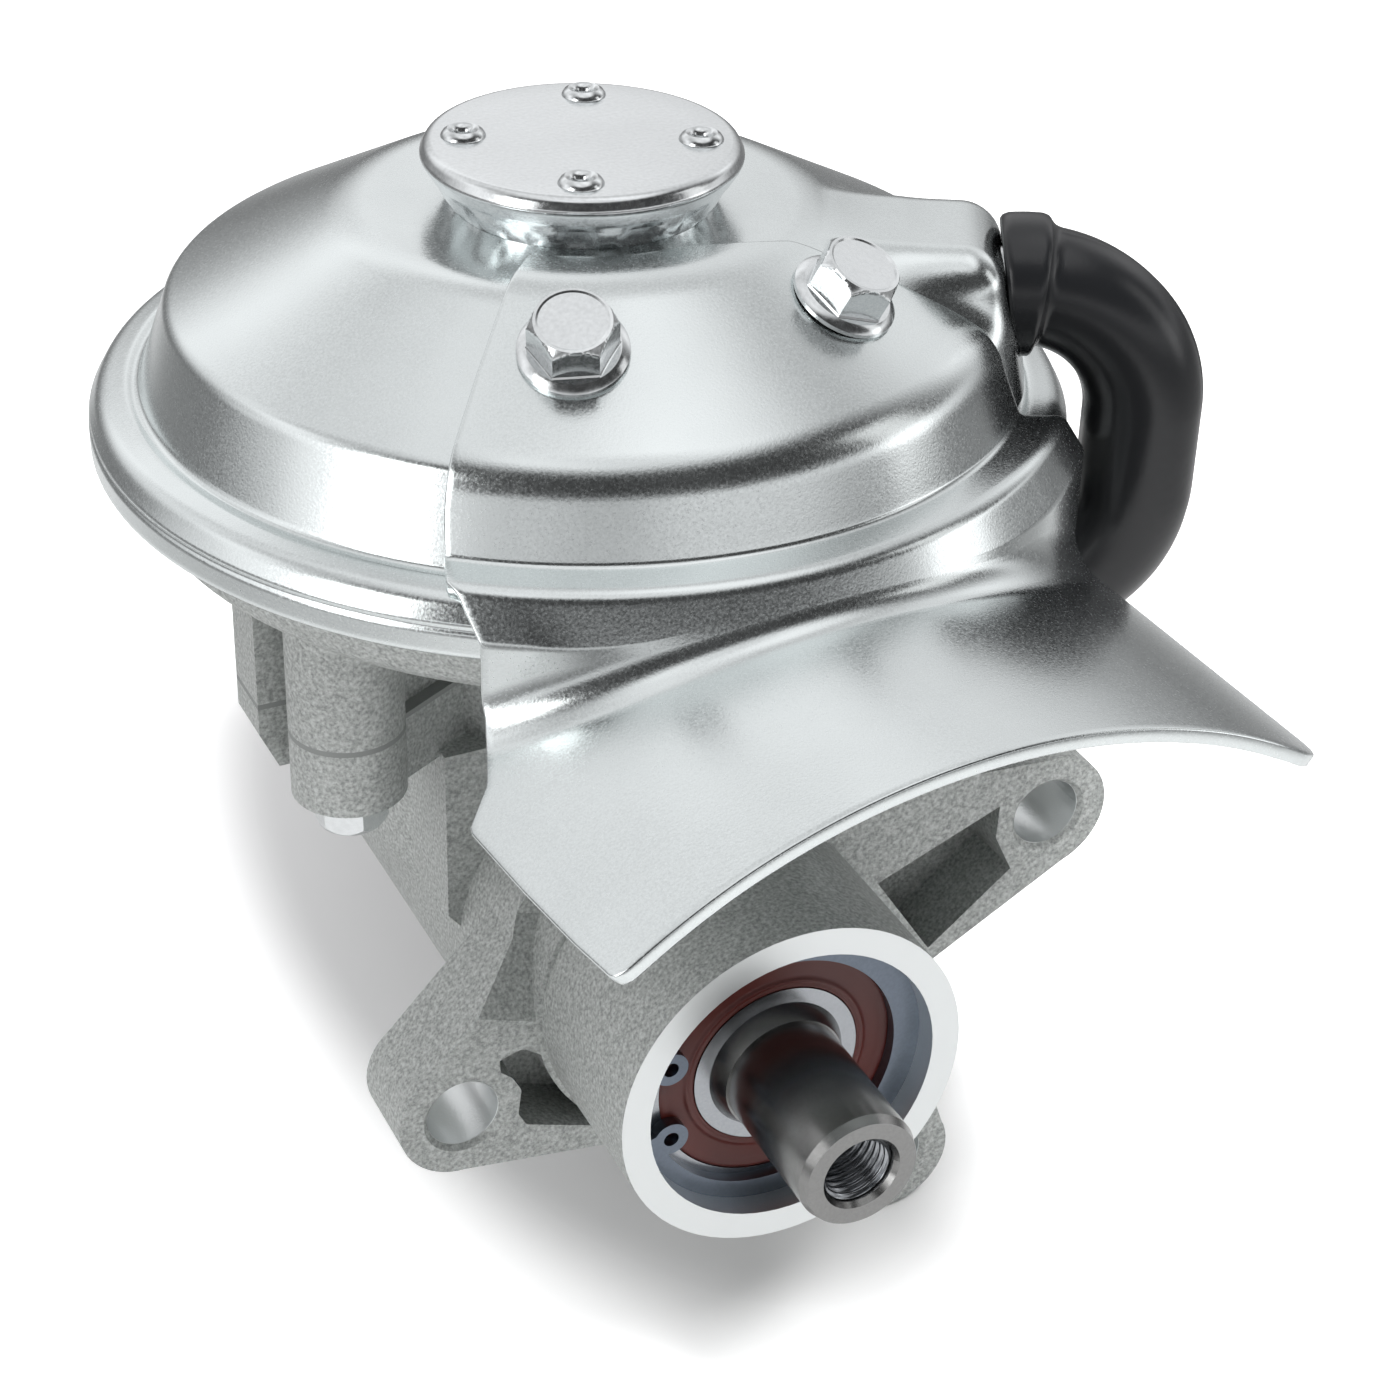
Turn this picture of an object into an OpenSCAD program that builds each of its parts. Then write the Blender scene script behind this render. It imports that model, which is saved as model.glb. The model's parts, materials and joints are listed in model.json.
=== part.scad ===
// Belt-driven diaphragm vacuum pump for a diesel engine.
// Origin: on the shaft's axis, in the plane of the nose's machined face.
// The shaft points along -Y, the pressed-steel dome stands up along +Z.

/* [Layout] */
// Distance from the nose face back to the dome's axis
dome_y = 71.6; // [68:0.1:80]
// Height of the cover's rim bead above the shaft's axis
rim_z = 72.6; // [70:0.1:78]
// Distance from the nose face back to the rear end of the crankcase
rear_y = 106; // [104:0.5:116]
// Throw of the eccentric, half of the diaphragm's stroke
throw = 2.2; // [1.2:0.1:2.2]

/* [Shaft and bearings] */
// Diameter of the shaft where it carries the pulley and the front bearing
shaft_d = 17; // [16:0.5:17.5]
// Length of shaft that stands out of the nose face
shaft_out = 19.1; // [12:0.1:30]
// Length of the tapered shoulder in front of the front bearing
shaft_shoulder = 2.6; // [1.5:0.1:3.2]
// Chamfer on the shaft's end
shaft_chamfer = 1.4; // [0.5:0.1:2]
// Diameter of the tapped hole in the shaft's end
thread_d = 10.2; // [6:0.1:11]
// Depth of the tapped hole
thread_depth = 24; // [15:1:30]
// Outer diameter of the front bearing
front_od = 40; // [38:0.5:41]
// Width of the front bearing
front_w = 12; // [10:0.5:13]
// Depth of the front bearing's face behind the nose face
front_set = 5.4; // [4.4:0.1:7]
// Thickness of the circlips
clip_t = 1.75; // [1.2:0.05:2]
// Diameter of the eccentric, and bore of its bearing
ecc_d = 20; // [19.5:0.5:21]
// Outer diameter of the eccentric's bearing
ecc_od = 42; // [40:0.5:42]
// Width of the eccentric's bearing
ecc_w = 12; // [10:0.5:13]
// Diameter of the shaft in the rear bearing
tail_d = 15; // [13:0.5:15]
// Outer diameter of the rear bearing
tail_od = 35; // [32:0.5:36]
// Width of the rear bearing
tail_w = 11; // [9:0.5:12]

/* [Cover] */
// Thickness of the cover's steel sheet
cover_t = 1.5; // [1:0.1:1.8]
// Height of the flat plateau above the rim bead
plateau_h = 27; // [25:0.1:30]
// Radius of the flat plateau
plateau_r = 31.8; // [30:0.1:33]
// Distance from the rim's rolled edge in to the crest where the cone turns into the wall
crest_in = 9.4; // [8.9:0.1:10.4]
// Height of the crest above the rim bead
crest_h = 14.2; // [12.5:0.1:15]
// Radius of the rim's rolled edge
rim_r = 67.5; // [67:0.1:69]
// Half width of the outlet snout
snout_w = 12.6; // [11.5:0.1:13.5]
// Distance from the crest in to the snout's end
snout_in = 0.5; // [0:0.1:2]
// Bearing of the snout about the dome's axis, from +X
snout_az = -28; // [-30:1:-26]

/* [Vent cap] */
// Radius of the vent cap's rolled edge
cap_r = 21.8; // [20:0.1:23]
// Height of the vent cap above the plateau
cap_h = 8.4; // [7:0.1:10]
// Radius of the circle of cap rivets
cap_rivet_r = 15.8; // [13.5:0.1:16.5]
// Diameter of a cap rivet's shank
cap_rivet_d = 3; // [2.4:0.1:3.2]

/* [Shield] */
// Thickness of the shield's steel sheet
shield_t = 2; // [1.5:0.1:2.5]
// Radius of the vaulted apron's outer face
vault_r = 85.4; // [80:0.1:95]
// Distance from the dome's axis to the apron's front lip
lip_y = 104; // [96:0.5:110]
// Reach of the apron to the left of the dome's axis
apron_left = 46.5; // [44:0.5:50]
// Reach of the apron to the right of the dome's axis
apron_right = 54.5; // [52:0.5:58]
// Turn of the shield about the dome's axis
shield_yaw = 1.8; // [0:0.1:3]
// Distance of the shield's bolts from the dome's axis
bolt_r = 41; // [39:0.5:43]
// Angle from the shield's middle to each bolt
bolt_angle = 27; // [24:1:29]
// Thread diameter of the shield's bolts
bolt_d = 6; // [5:0.5:6.5]

/* [Hose] */
// Outer diameter of the moulded hose
hose_d = 16.3; // [15:0.1:17]
// Bore of the moulded hose
hose_bore = 11; // [9:0.1:12]
// Radius of each of the hose's two bends, at the middle of the hose
hose_bend = 17.5; // [16:0.1:20]
// Length of the straight run between the two bends
hose_run = 12; // [8:0.5:14]
// Outer diameter of the hose's cuffs
cuff_d = 19.8; // [18:0.1:21]
// Length of each cuff
cuff_l = 6.4; // [4:0.1:8]

/* [Vacuum nipple] */
// Diameter of the spigot that the vacuum hose goes on
nipple_d = 9.5; // [8:0.1:11]
// Length of the spigot
nipple_l = 19; // [12:0.5:24]
// Diameter of the root that is pressed into the casting
nipple_root_d = 10.4; // [9:0.1:12]

/* [Castings] */
// Outer diameter of the nose
nose_d = 50.6; // [50:0.1:54]
// Diameter of the nose's mouth
mouth_d = 42.4; // [42.2:0.1:43]
// Outer radius of the crankcase barrel
barrel_r = 29.5; // [29.5:0.1:32]
// Distance from the nose face back to the front face of the ears
ear_y = 26.6; // [20:0.1:32]
// Thickness of the ears
ear_t = 13; // [10:0.5:15]
// Outer radius of the ears
ear_r = 9.6; // [9:0.1:11]
// Diameter of the ears' bores
ear_bore = 10.5; // [8:0.1:12]
// Height of the joint between the two castings above the shaft's axis
split_z = 41.1; // [39:0.1:42]
// Distance from the rim's rolled edge in to the bowl's lower edge
bowl_in = 8.8; // [7.6:0.1:9.5]
// Depth of the bowl's lower edge under the rim bead
bowl_h = 15.4; // [14.5:0.1:17]
// Diameter of the posts that hang from the bowl
post_d = 15.6; // [14:0.1:17]
// Distance from the bowl's lower edge in to the middle of the posts
post_in = 7.7; // [6.8:0.1:10]
// Thickness of the crankcase lugs under the posts
lug_t = 9.5; // [8:0.1:11]
// Thread diameter of the screws that join the castings
screw_d = 6; // [5:0.5:6.5]

/* [Hidden] */
$fn = 72;

// Small gap between curved faces that seat on each other
seat = 0.02;
// Cut-through allowance for subtracted shapes
cut = 1;

// Crank chamber, its neck and the pieces in them
chamber_r = ecc_od / 2 + 2.8 + throw + 0.4;
rod_ring_r = ecc_od / 2 + 2.8;
neck_bore_r = 24;
neck_r = 33;
ecc_y = dome_y - ecc_w / 2;
chamber_y0 = dome_y - neck_bore_r - 1;
plug_y = ecc_y + ecc_w + 8.5;
tail_y = plug_y + 2;
clip_y = rear_y - 3;
gasket_t = 0.8;
seal_r = front_od / 2 - 2.5;

// Rim stack, measured from the rim bead
stack_top = 0.3;
valve_plate_t = 1;
diaphragm_t = 1.5;
rim_flange_t = 2;
diaphragm_top = stack_top - valve_plate_t;
rim_top = diaphragm_top - diaphragm_t;
rim_bottom = rim_top - rim_flange_t;
lip_t = cover_t;
rim_inner_r = rim_r - 1.6;
stack_r = rim_inner_r - 1.5;
skin_r = rim_inner_r - 1;
valve_plate_h = 6;
plate_r = 40;

// Cover, snout, bowl and posts, placed from the rim
crest_r = rim_r - crest_in;
snout_r = crest_r - snout_in;
bowl_r = rim_r - bowl_in;
post_r = bowl_r - post_in;

// Cone of the cover: its slope, and the tilt of what stands on it
cone_slope = (plateau_h - crest_h) / (crest_r - 1.8 - plateau_r);
cone_tilt = atan(cone_slope);
function cone_z(r) = plateau_h - cone_slope * (r - plateau_r);

// Hose ends
port_lift = 16.7;
snout_lean = 9;
hose_x = snout_r + hose_bend * sin(snout_lean);
hose_z = port_lift - hose_bend * cos(snout_lean);
leg_z = hose_z - hose_run - hose_bend;
port_x = hose_x - cuff_l - 2;
tube_t = 1;
tube_r = hose_bore / 2 - 0.12;

// Vault of the shield's apron
vault_x = 3;
vault_z = -1.6 - vault_r;
drop_r = rim_r + 0.7;

// Ear centres in the shaft's frame, seen from the front
ears = [[-36.9, -13], [54.6, 12.5], [32.5, -45]];
post_angles = [-151, -61, 29, 119];

// Unit vector along v
function unit(v) = v / norm(v);

// Arc of radius r that rounds corner b between points a and c
function corner_arc(a, b, c, r, n) =
    let (u = unit(a - b), v = unit(c - b), half = acos(max(-1, min(1, u * v))) / 2,
        m = b + unit(u + v) * r / sin(half),
        s = b + u * r / tan(half) - m, e = b + v * r / tan(half) - m, turn = 180 - 2 * half)
    [for (k = [0:n]) m + (sin((1 - k / n) * turn) * s + sin(k / n * turn) * e) / sin(turn)];

// Path through corners [x, y, radius], with each inner corner rounded
function rounded(c, n = 5) = [for (i = [0:len(c) - 1])
    let (p = [c[i][0], c[i][1]])
    each (i == 0 || i == len(c) - 1 || c[i][2] == 0) ? [p]
        : corner_arc([c[i - 1][0], c[i - 1][1]], p, [c[i + 1][0], c[i + 1][1]], c[i][2], n)];

// Normal to the right of direction d
function right_of(d) = [d[1], -d[0]];

// Path moved sideways by t, with mitred corners
function beside(path, t) = [for (i = [0:len(path) - 1])
    let (n0 = right_of(unit(path[max(i, 1)] - path[max(i, 1) - 1])),
        n1 = right_of(unit(path[min(i, len(path) - 2) + 1] - path[min(i, len(path) - 2)])))
    path[i] + t * (n0 + n1) / (1 + n0 * n1)];

function reversed(path) = [for (i = [len(path) - 1:-1:0]) path[i]];

// Outline of a sheet of thickness t that lies to the right of a path
function sheet(path, t) = concat(path, reversed(beside(path, t)));

// Frame with its origin on the dome's axis at the rim bead
module in_dome() {
    translate([0, dome_y, rim_z]) children();
}

// Frame at distance y behind the nose, with its local z along the shaft
module on_shaft(y) {
    translate([0, y, 0]) rotate([-90, 0, 0]) children();
}

// Plate between y0 and y1 whose outline is drawn in x and z
module upright(y0, y1) {
    translate([0, y1, 0]) rotate([90, 0, 0]) linear_extrude(y1 - y0) children();
}

module tube(r, bore_r, h) {
    difference() {
        cylinder(r = r, h = h);
        translate([0, 0, -cut]) cylinder(r = bore_r, h = h + 2 * cut);
    }
}

// Outline that wraps a circle of radius r1 at the origin and one of radius r2 at p
module link(r1, p, r2) {
    d = norm(p);
    a = acos((r1 - r2) / d);
    s = r2 - 0.1;
    rotate(atan2(p[1], p[0])) {
        polygon([[r1 * cos(a), r1 * sin(a)], [d + s * cos(a), s * sin(a)],
            [d + s * cos(a), -s * sin(a)], [r1 * cos(a), -r1 * sin(a)]]);
        translate([d, 0]) circle(r = r2);
    }
}

module ball_inner(bore, od, w, ball) {
    pitch_r = (bore + od) / 4;
    difference() {
        tube(pitch_r - ball * 0.3, bore / 2, w);
        translate([0, 0, w / 2]) rotate_extrude() translate([pitch_r, 0]) circle(r = ball / 2 + 0.04);
    }
}

module ball_outer(bore, od, w, ball) {
    pitch_r = (bore + od) / 4;
    difference() {
        tube(od / 2, pitch_r + ball * 0.3, w);
        translate([0, 0, w / 2]) rotate_extrude() translate([pitch_r, 0]) circle(r = ball / 2 + 0.04);
    }
}

// Balls of a bearing with the pressed cage between them
module ball_set(bore, od, w, ball, count) {
    pitch_r = (bore + od) / 4;
    translate([0, 0, w / 2]) {
        for (i = [0:count - 1]) rotate([0, 0, i * 360 / count]) translate([pitch_r, 0, 0]) sphere(d = ball);
        difference() {
            translate([0, 0, -ball / 2 - 0.7]) tube(pitch_r + 0.6, pitch_r - 0.6, ball + 1.4);
            for (i = [0:count - 1]) rotate([0, 0, i * 360 / count]) translate([pitch_r, 0, 0])
                rotate([0, 90, 0]) cylinder(d = ball + 0.2, h = 4, center = true);
        }
    }
}

// Internal circlip that narrows towards its two eyed lugs, on both sides of the gap at gap_angle
module clip(groove_r, inner_r, t, gap_angle) {
    half_gap = 20;
    eye_r = inner_r - 0.6;
    difference() {
        union() {
            difference() {
                cylinder(r = groove_r - 0.1, h = t);
                rotate([0, 0, gap_angle]) translate([0.9, 0, -cut]) cylinder(r = inner_r, h = t + 2 * cut);
                rotate([0, 0, gap_angle]) translate([0, 0, -cut]) linear_extrude(t + 2 * cut)
                    polygon([[2, 0], [groove_r * 1.3, -groove_r * 1.3 * tan(half_gap - 5)],
                        [groove_r * 1.3, groove_r * 1.3 * tan(half_gap - 5)]]);
            }
            for (s = [-1, 1]) rotate([0, 0, gap_angle + s * half_gap]) translate([eye_r, 0, 0])
                cylinder(r = 2.5, h = t);
        }
        for (s = [-1, 1]) rotate([0, 0, gap_angle + s * half_gap]) translate([eye_r, 0, -cut])
            cylinder(r = 1.1, h = t + 2 * cut);
    }
}

// Hexagonal head with a round flange, standing on z = 0
module flanged_head(across, flange_r, h) {
    cylinder(r1 = flange_r, r2 = flange_r - 0.6, h = 1.4);
    intersection() {
        cylinder(r = across / sqrt(3), h = h, $fn = 6);
        rotate_extrude() polygon([[0, 0], [across, 0], [across * 0.58, h - 1.1], [across * 0.49, h], [0, h]]);
    }
}

module at_shield_bolts() {
    for (s = [-1, 1]) rotate([0, 0, shield_yaw - 90 + s * bolt_angle])
        translate([bolt_r, 0, cone_z(bolt_r)]) rotate([0, cone_tilt, 0]) children();
}

module at_posts() {
    for (a = post_angles) rotate([0, 0, a]) translate([post_r, 0, 0]) children();
}

// Outer profile of the pressed cover, from the plateau's hole to the crimp lip
cover_hole_r = 7;
cover_corners = [
    [cover_hole_r, plateau_h, 0],
    [plateau_r, plateau_h, 9],
    [crest_r - 1.8, crest_h, 5],
    [rim_r - 6.9, 2, 0.9],
    [rim_r - 5.4, 2.7, 1.6],
    [rim_r - 1.7, 1.9, 3],
    [rim_r, -1.4, 0.5],
    [rim_r, rim_bottom - lip_t, 0.9],
    [rim_r - 4, rim_bottom - lip_t, 0]];
cover_path = rounded(cover_corners);

// Rounded spout that runs from the plateau to the hose; s shrinks it for its inside
module snout(s) {
    r = 4.5 - s;
    rotate([0, 0, snout_az]) hull() {
        translate([22, 0, 14]) cylinder(r = 15 - s, h = plateau_h - 14.3 - s, $fn = 32);
        for (y = [-1, 1]) {
            translate([snout_r - 6.6, y * (snout_w - 4.5), plateau_h - 6.4]) sphere(r = r, $fn = 24);
            translate([snout_r - 3.9, y * (snout_w - 4.5), 8]) sphere(r = r, $fn = 24);
        }
    }
}

// Space under the cover's sheet
module cover_inside() {
    rotate_extrude() polygon(concat([[0, 2], [0, plateau_h - cover_t]],
        [for (p = beside(cover_path, cover_t)) if (p[1] > 2.2 && p[0] < rim_r - 6) p],
        [[crest_r - 1, 2]]));
}

// Place of the tube in the snout's end, with its local z out of the mouth
module at_snout_tube() {
    rotate([0, 0, snout_az]) translate([snout_r, 0, port_lift]) rotate([0, 90 - snout_lean, 0]) children();
}

module at_port() {
    rotate([0, 0, snout_az]) translate([port_x, 0, leg_z]) rotate([0, 90, 0]) children();
}

module top_cover() {
    color("silver") in_dome() difference() {
        union() {
            difference() {
                rotate_extrude($fn = 96) polygon(sheet(cover_path, cover_t));
                snout(cover_t);
            }
            difference() {
                snout(0);
                snout(cover_t);
                cover_inside();
            }
        }
        at_snout_tube() translate([0, 0, -8]) cylinder(r = tube_r - 0.15 + seat, h = 20);
        at_shield_bolts() translate([0, 0, -6]) cylinder(d = bolt_d + 0.5, h = 12);
        at_cap_rivets() translate([0, 0, -4]) cylinder(d = cap_rivet_d, h = 8);
    }
}

// Steel tube in the snout, over which the hose's cuff is pushed
module snout_tube() {
    color("lightgray") in_dome() at_snout_tube() translate([0, 0, -4])
        tube(tube_r - 0.15, tube_r - tube_t, 6.3);
}

module at_cap_rivets() {
    for (a = [0:3]) rotate([0, 0, -24.4 + 90 * a]) translate([cap_rivet_r, 0, plateau_h]) children();
}

// Pressed cap over the vent hole, with a notch in its skirt for the air
module vent_cap() {
    skirt_r = cap_r - 3.2;
    path = rounded([
        [0, cap_h, 0],
        [cap_r - 1, cap_h, 1.2],
        [cap_r, cap_h - 1.9, 0.6],
        [cap_r - 1.4, cap_h - 4, 1],
        [cap_r - 2, cap_h - 4.5, 0.6],
        [skirt_r, 0, 0]]);
    color("gainsboro") in_dome() translate([0, 0, plateau_h]) difference() {
        rotate_extrude() polygon(sheet(path, 0.9));
        rotate([0, 0, -90]) translate([skirt_r - 4, -2.5, -cut]) cube([8, 5, 1.6 + cut]);
        for (a = [0:3]) rotate([0, 0, -24.4 + 90 * a]) translate([cap_rivet_r, 0, -cut])
            cylinder(d = cap_rivet_d, h = cap_h + 2 * cut);
    }
}

// Tubular rivets with rolled heads that hold the cap on the cover
module cap_rivets() {
    color("silver") in_dome() at_cap_rivets() difference() {
        union() {
            translate([0, 0, -cover_t - 0.8]) cylinder(d = cap_rivet_d, h = cap_h + cover_t + 0.9);
            translate([0, 0, -cover_t - 0.8]) cylinder(d = cap_rivet_d + 2, h = 0.8);
            translate([0, 0, cap_h]) cylinder(d1 = cap_rivet_d + 2, d2 = cap_rivet_d + 0.8, h = 0.6);
        }
        translate([0, 0, cap_h - 2]) cylinder(d = cap_rivet_d - 1.2, h = 4);
    }
}

// Sleeve that leads the pumped air from the valve plate up to the vent cap
module exhaust_sleeve() {
    color("silver") in_dome() translate([0, 0, valve_plate_h + valve_plate_t])
        tube(cover_hole_r + 2.5, cover_hole_r + 1.5, plateau_h - cover_t - valve_plate_h - valve_plate_t);
}

// Dished steel plate under the cover, which carries the valves
module valve_plate() {
    path = rounded([
        [0, valve_plate_h + valve_plate_t, 0],
        [crest_r - 5, valve_plate_h + valve_plate_t, 3],
        [crest_r - 2, stack_top, 1.5],
        [stack_r, stack_top, 0]]);
    color("darkgray") in_dome() difference() {
        rotate_extrude() polygon(sheet(path, valve_plate_t));
        for (a = [0:5]) rotate([0, 0, a * 60]) translate([4, 0, valve_plate_h - cut])
            cylinder(d = 2.6, h = valve_plate_t + 2 * cut);
        translate([0, 0, valve_plate_h - cut]) cylinder(d = 2.5, h = valve_plate_t + 2 * cut);
        at_intake_valves() {
            translate([0, 0, -cut]) cylinder(d = 2.5, h = valve_plate_t + 2 * cut);
            for (a = [0:5]) rotate([0, 0, a * 60]) translate([4, 0, -cut])
                cylinder(d = 2.6, h = valve_plate_t + 2 * cut);
        }
    }
}

module at_intake_valves() {
    for (a = [0:1]) rotate([0, 0, a * 180 + snout_az]) translate([28, 0, valve_plate_h]) children();
}

// Rubber umbrella whose stem is pulled through a plate of thickness t
module umbrella(t) {
    rotate_extrude($fn = 48) polygon([[0, -1.8], [1.25, -1.8], [1.25, -1.2], [6, -0.9], [6, -0.01],
        [1.24, -0.01], [1.24, t + 0.01], [1.9, t + 0.01], [1, t + 1.6], [0, t + 1.6]]);
}

module intake_valves() {
    color("dimgray") in_dome() at_intake_valves() umbrella(valve_plate_t);
}

module exhaust_valve() {
    color("dimgray") in_dome() translate([0, 0, valve_plate_h + valve_plate_t]) mirror([0, 0, 1])
        umbrella(valve_plate_t);
}

// Profile of the shield where it lies on the cover, then drops past the rim
skim = 0.06;
shield_corners = beside([for (c = cover_corners) [c[0], c[1]]], -shield_t - skim);
foot_z = 2.9 + shield_t;
function at_height(a, b, z) = a + (b - a) * (a[1] - z) / (a[1] - b[1]);
shield_foot = at_height(shield_corners[2], shield_corners[3], foot_z);
shield_path = rounded([
    [24.5, plateau_h + shield_t + skim, 0],
    [shield_corners[1][0], shield_corners[1][1], 9 + shield_t + skim],
    [shield_corners[2][0], shield_corners[2][1], 5 + shield_t + skim],
    [shield_foot[0], foot_z, 1],
    [rim_r - 0.4, foot_z - 0.6, shield_t + 1.4],
    [drop_r + shield_t, -1.6, shield_t + 1],
    [drop_r + shield_t, -32, 0]]);

module vault(r) {
    translate([vault_x, 0, vault_z]) rotate([90, 0, 0]) cylinder(r = r, h = lip_y + 5, $fn = 144);
}

// Splash shield: a sector that follows the cover, a drop past the rim, and a vaulted apron
module shield() {
    left = -131.3;
    right = -43;
    color("silver") in_dome() rotate([0, 0, shield_yaw]) difference() {
        union() {
            rotate([0, 0, left]) rotate_extrude(angle = right - left, $fn = 96)
                polygon(sheet(shield_path, shield_t));
            difference() {
                intersection() {
                    vault(vault_r);
                    translate([0, 0, -40]) linear_extrude(60) polygon(rounded([
                        [-38, -40, 0],
                        [-apron_left + 3, -64, 6],
                        [-apron_left - 1, -70, 1.5],
                        [-apron_left + 1, -lip_y, 1.2],
                        [apron_right, -lip_y, 1.2],
                        [apron_right - 0.5, -38, 0]]));
                }
                translate([0, 0, -41]) cylinder(r = drop_r + shield_t / 2, h = 62, $fn = 96);
            }
        }
        vault(vault_r - shield_t);
        mirror([0, 1, 0]) upright(30, 80) polygon([[-47, 0], [-38, -16], [-38, -34], [-62, -34], [-62, 0]]);
        rotate([0, 0, snout_az - shield_yaw]) translate([0, -snout_w - 2.4, 5])
            cube([rim_r, 2 * snout_w, 40]);
        rotate([0, 0, -shield_yaw]) at_shield_bolts() translate([0, 0, -4])
            cylinder(d = bolt_d + 0.5, h = 12);
    }
}

// Two flanged hex bolts that hold the shield on the cover's cone
module shield_bolts() {
    color("whitesmoke") in_dome() at_shield_bolts() {
        translate([0, 0, shield_t + skim]) flanged_head(10, 7.1, 6.4);
        translate([0, 0, -cover_t - 6]) cylinder(d = bolt_d, h = cover_t + 6 + shield_t + skim);
    }
}

module weld_nuts() {
    color("silver") in_dome() at_shield_bolts() translate([0, 0, -cover_t - 5.45]) difference() {
        cylinder(r = 5.8, h = 5, $fn = 6);
        translate([0, 0, -cut]) cylinder(d = bolt_d + 2 * seat, h = 5 + 2 * cut);
    }
}

// Stations [x, z, angle] of the hose's middle in its own plane; the angle turns its section
hose_sides = 24;
cuff_turn = cuff_l / hose_bend * 180 / PI;
function bend_at(a, drop) = [hose_x + hose_bend * cos(a), hose_z - drop + hose_bend * sin(a), a];
upper_cuff = [for (k = [0:2]) bend_at(90 + snout_lean - cuff_turn * k / 2, 0)];
hose_middle = concat([for (k = [0:8]) bend_at((90 + snout_lean - cuff_turn) * (1 - k / 8), 0)],
    [for (k = [0:8]) bend_at(-90 * k / 8, hose_run)],
    [[port_x + cuff_l, leg_z, -90]]);
lower_cuff = [[port_x + cuff_l, leg_z, -90], [port_x, leg_z, -90]];

function ring_at(p, r) = [for (k = [0:hose_sides - 1]) let (t = 360 * k / hose_sides)
    [p[0] + r * cos(t) * cos(p[2]), r * sin(t), p[1] + r * cos(t) * sin(p[2])]];

// Moulded rubber elbow between the snout and the casting's port: one wall swept along the route
module hose() {
    n = hose_sides;
    bore_r = hose_bore / 2 + seat;
    rings = concat([for (p = upper_cuff) ring_at(p, cuff_d / 2)],
        [for (p = hose_middle) ring_at(p, hose_d / 2)],
        [for (p = lower_cuff) ring_at(p, cuff_d / 2)],
        [for (p = reversed(lower_cuff)) ring_at(p, bore_r)],
        [for (i = [len(hose_middle) - 2:-1:1]) ring_at(hose_middle[i], bore_r)],
        [for (p = reversed(upper_cuff)) ring_at(p, bore_r)]);
    m = len(rings);
    color("#1c1c1e") in_dome() rotate([0, 0, snout_az]) polyhedron(
        points = [for (r = rings) each r],
        faces = [for (i = [0:m - 1]) for (k = [0:n - 1]) let (j = (i + 1) % m, l = (k + 1) % n)
            [i * n + k, j * n + k, j * n + l, i * n + l]]);
}

module port_tube() {
    color("lightgray") in_dome() at_port() translate([0, 0, -8])
        tube(tube_r, tube_r - tube_t, 8 + cuff_l + 1.5);
}

module at_nipple() {
    translate([0, 0, leg_z + 1]) rotate([-90, 0, 0]) children();
}

// Steel tube for the brake servo's vacuum line, at the back
module vacuum_nipple() {
    color("lightgray") in_dome() at_nipple() translate([0, 0, 38]) difference() {
        union() {
            cylinder(d = nipple_root_d, h = 13);
            translate([0, 0, 12]) cylinder(d = max(nipple_d, nipple_root_d) + 2, h = 2);
            translate([0, 0, 13]) cylinder(d = nipple_d, h = nipple_l + 1);
            translate([0, 0, nipple_l + 14]) cylinder(d1 = nipple_d, d2 = nipple_d - 1.4, h = 1);
        }
        translate([0, 0, -cut]) cylinder(d = nipple_d - 3, h = nipple_l + 15 + 2 * cut);
    }
}

module diaphragm() {
    top = beside_roll(0);
    color("#2a2a2a") in_dome() rotate_extrude() polygon(concat(top, reversed(beside_roll(-diaphragm_t))));
}

// Flat skin with one hanging roll between the clamped rim and the plates
function beside_roll(dz) = [for (p = rounded([
    [bolt_m8 / 2 + 0.3, 0, 0],
    [plate_r + 2, 0, 2],
    [plate_r + 5.5, -4, 2.6],
    [plate_r + 11, -4, 2.6],
    [plate_r + 14.5, 0, 2],
    [skin_r, 0, 0]], 4)) [p[0], p[1] + diaphragm_top + dz]];

bolt_m8 = 8;

module upper_plate() {
    color("silver") in_dome() translate([0, 0, diaphragm_top]) difference() {
        rotate_extrude() polygon(rounded([
            [bolt_m8 / 2 + 0.3, 0, 0], [plate_r - 2, 0, 1.5], [plate_r, 1, 0], [plate_r - 0.8, 2, 0],
            [plate_r - 2.6, 1.2, 1], [bolt_m8 / 2 + 0.3, 1.2, 0]], 3));
    }
}

module lower_plate() {
    color("silver") in_dome() translate([0, 0, rim_top]) mirror([0, 0, 1])
        rotate_extrude() polygon(rounded([
            [bolt_m8 / 2 + 0.3, 0, 0], [plate_r - 2, 0, 1.5], [plate_r, 1, 0], [plate_r - 0.8, 2, 0],
            [plate_r - 2.6, 1.6, 1], [bolt_m8 / 2 + 0.3, 1.6, 0]], 3));
}

module diaphragm_screw() {
    color("dimgray") in_dome() {
        translate([0, 0, diaphragm_top + 1.2]) cylinder(r = 7, h = 2);
        translate([0, 0, rim_top - 16]) cylinder(d = bolt_m8, h = 17 + diaphragm_t + 1.2 - 0.8);
    }
}

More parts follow.
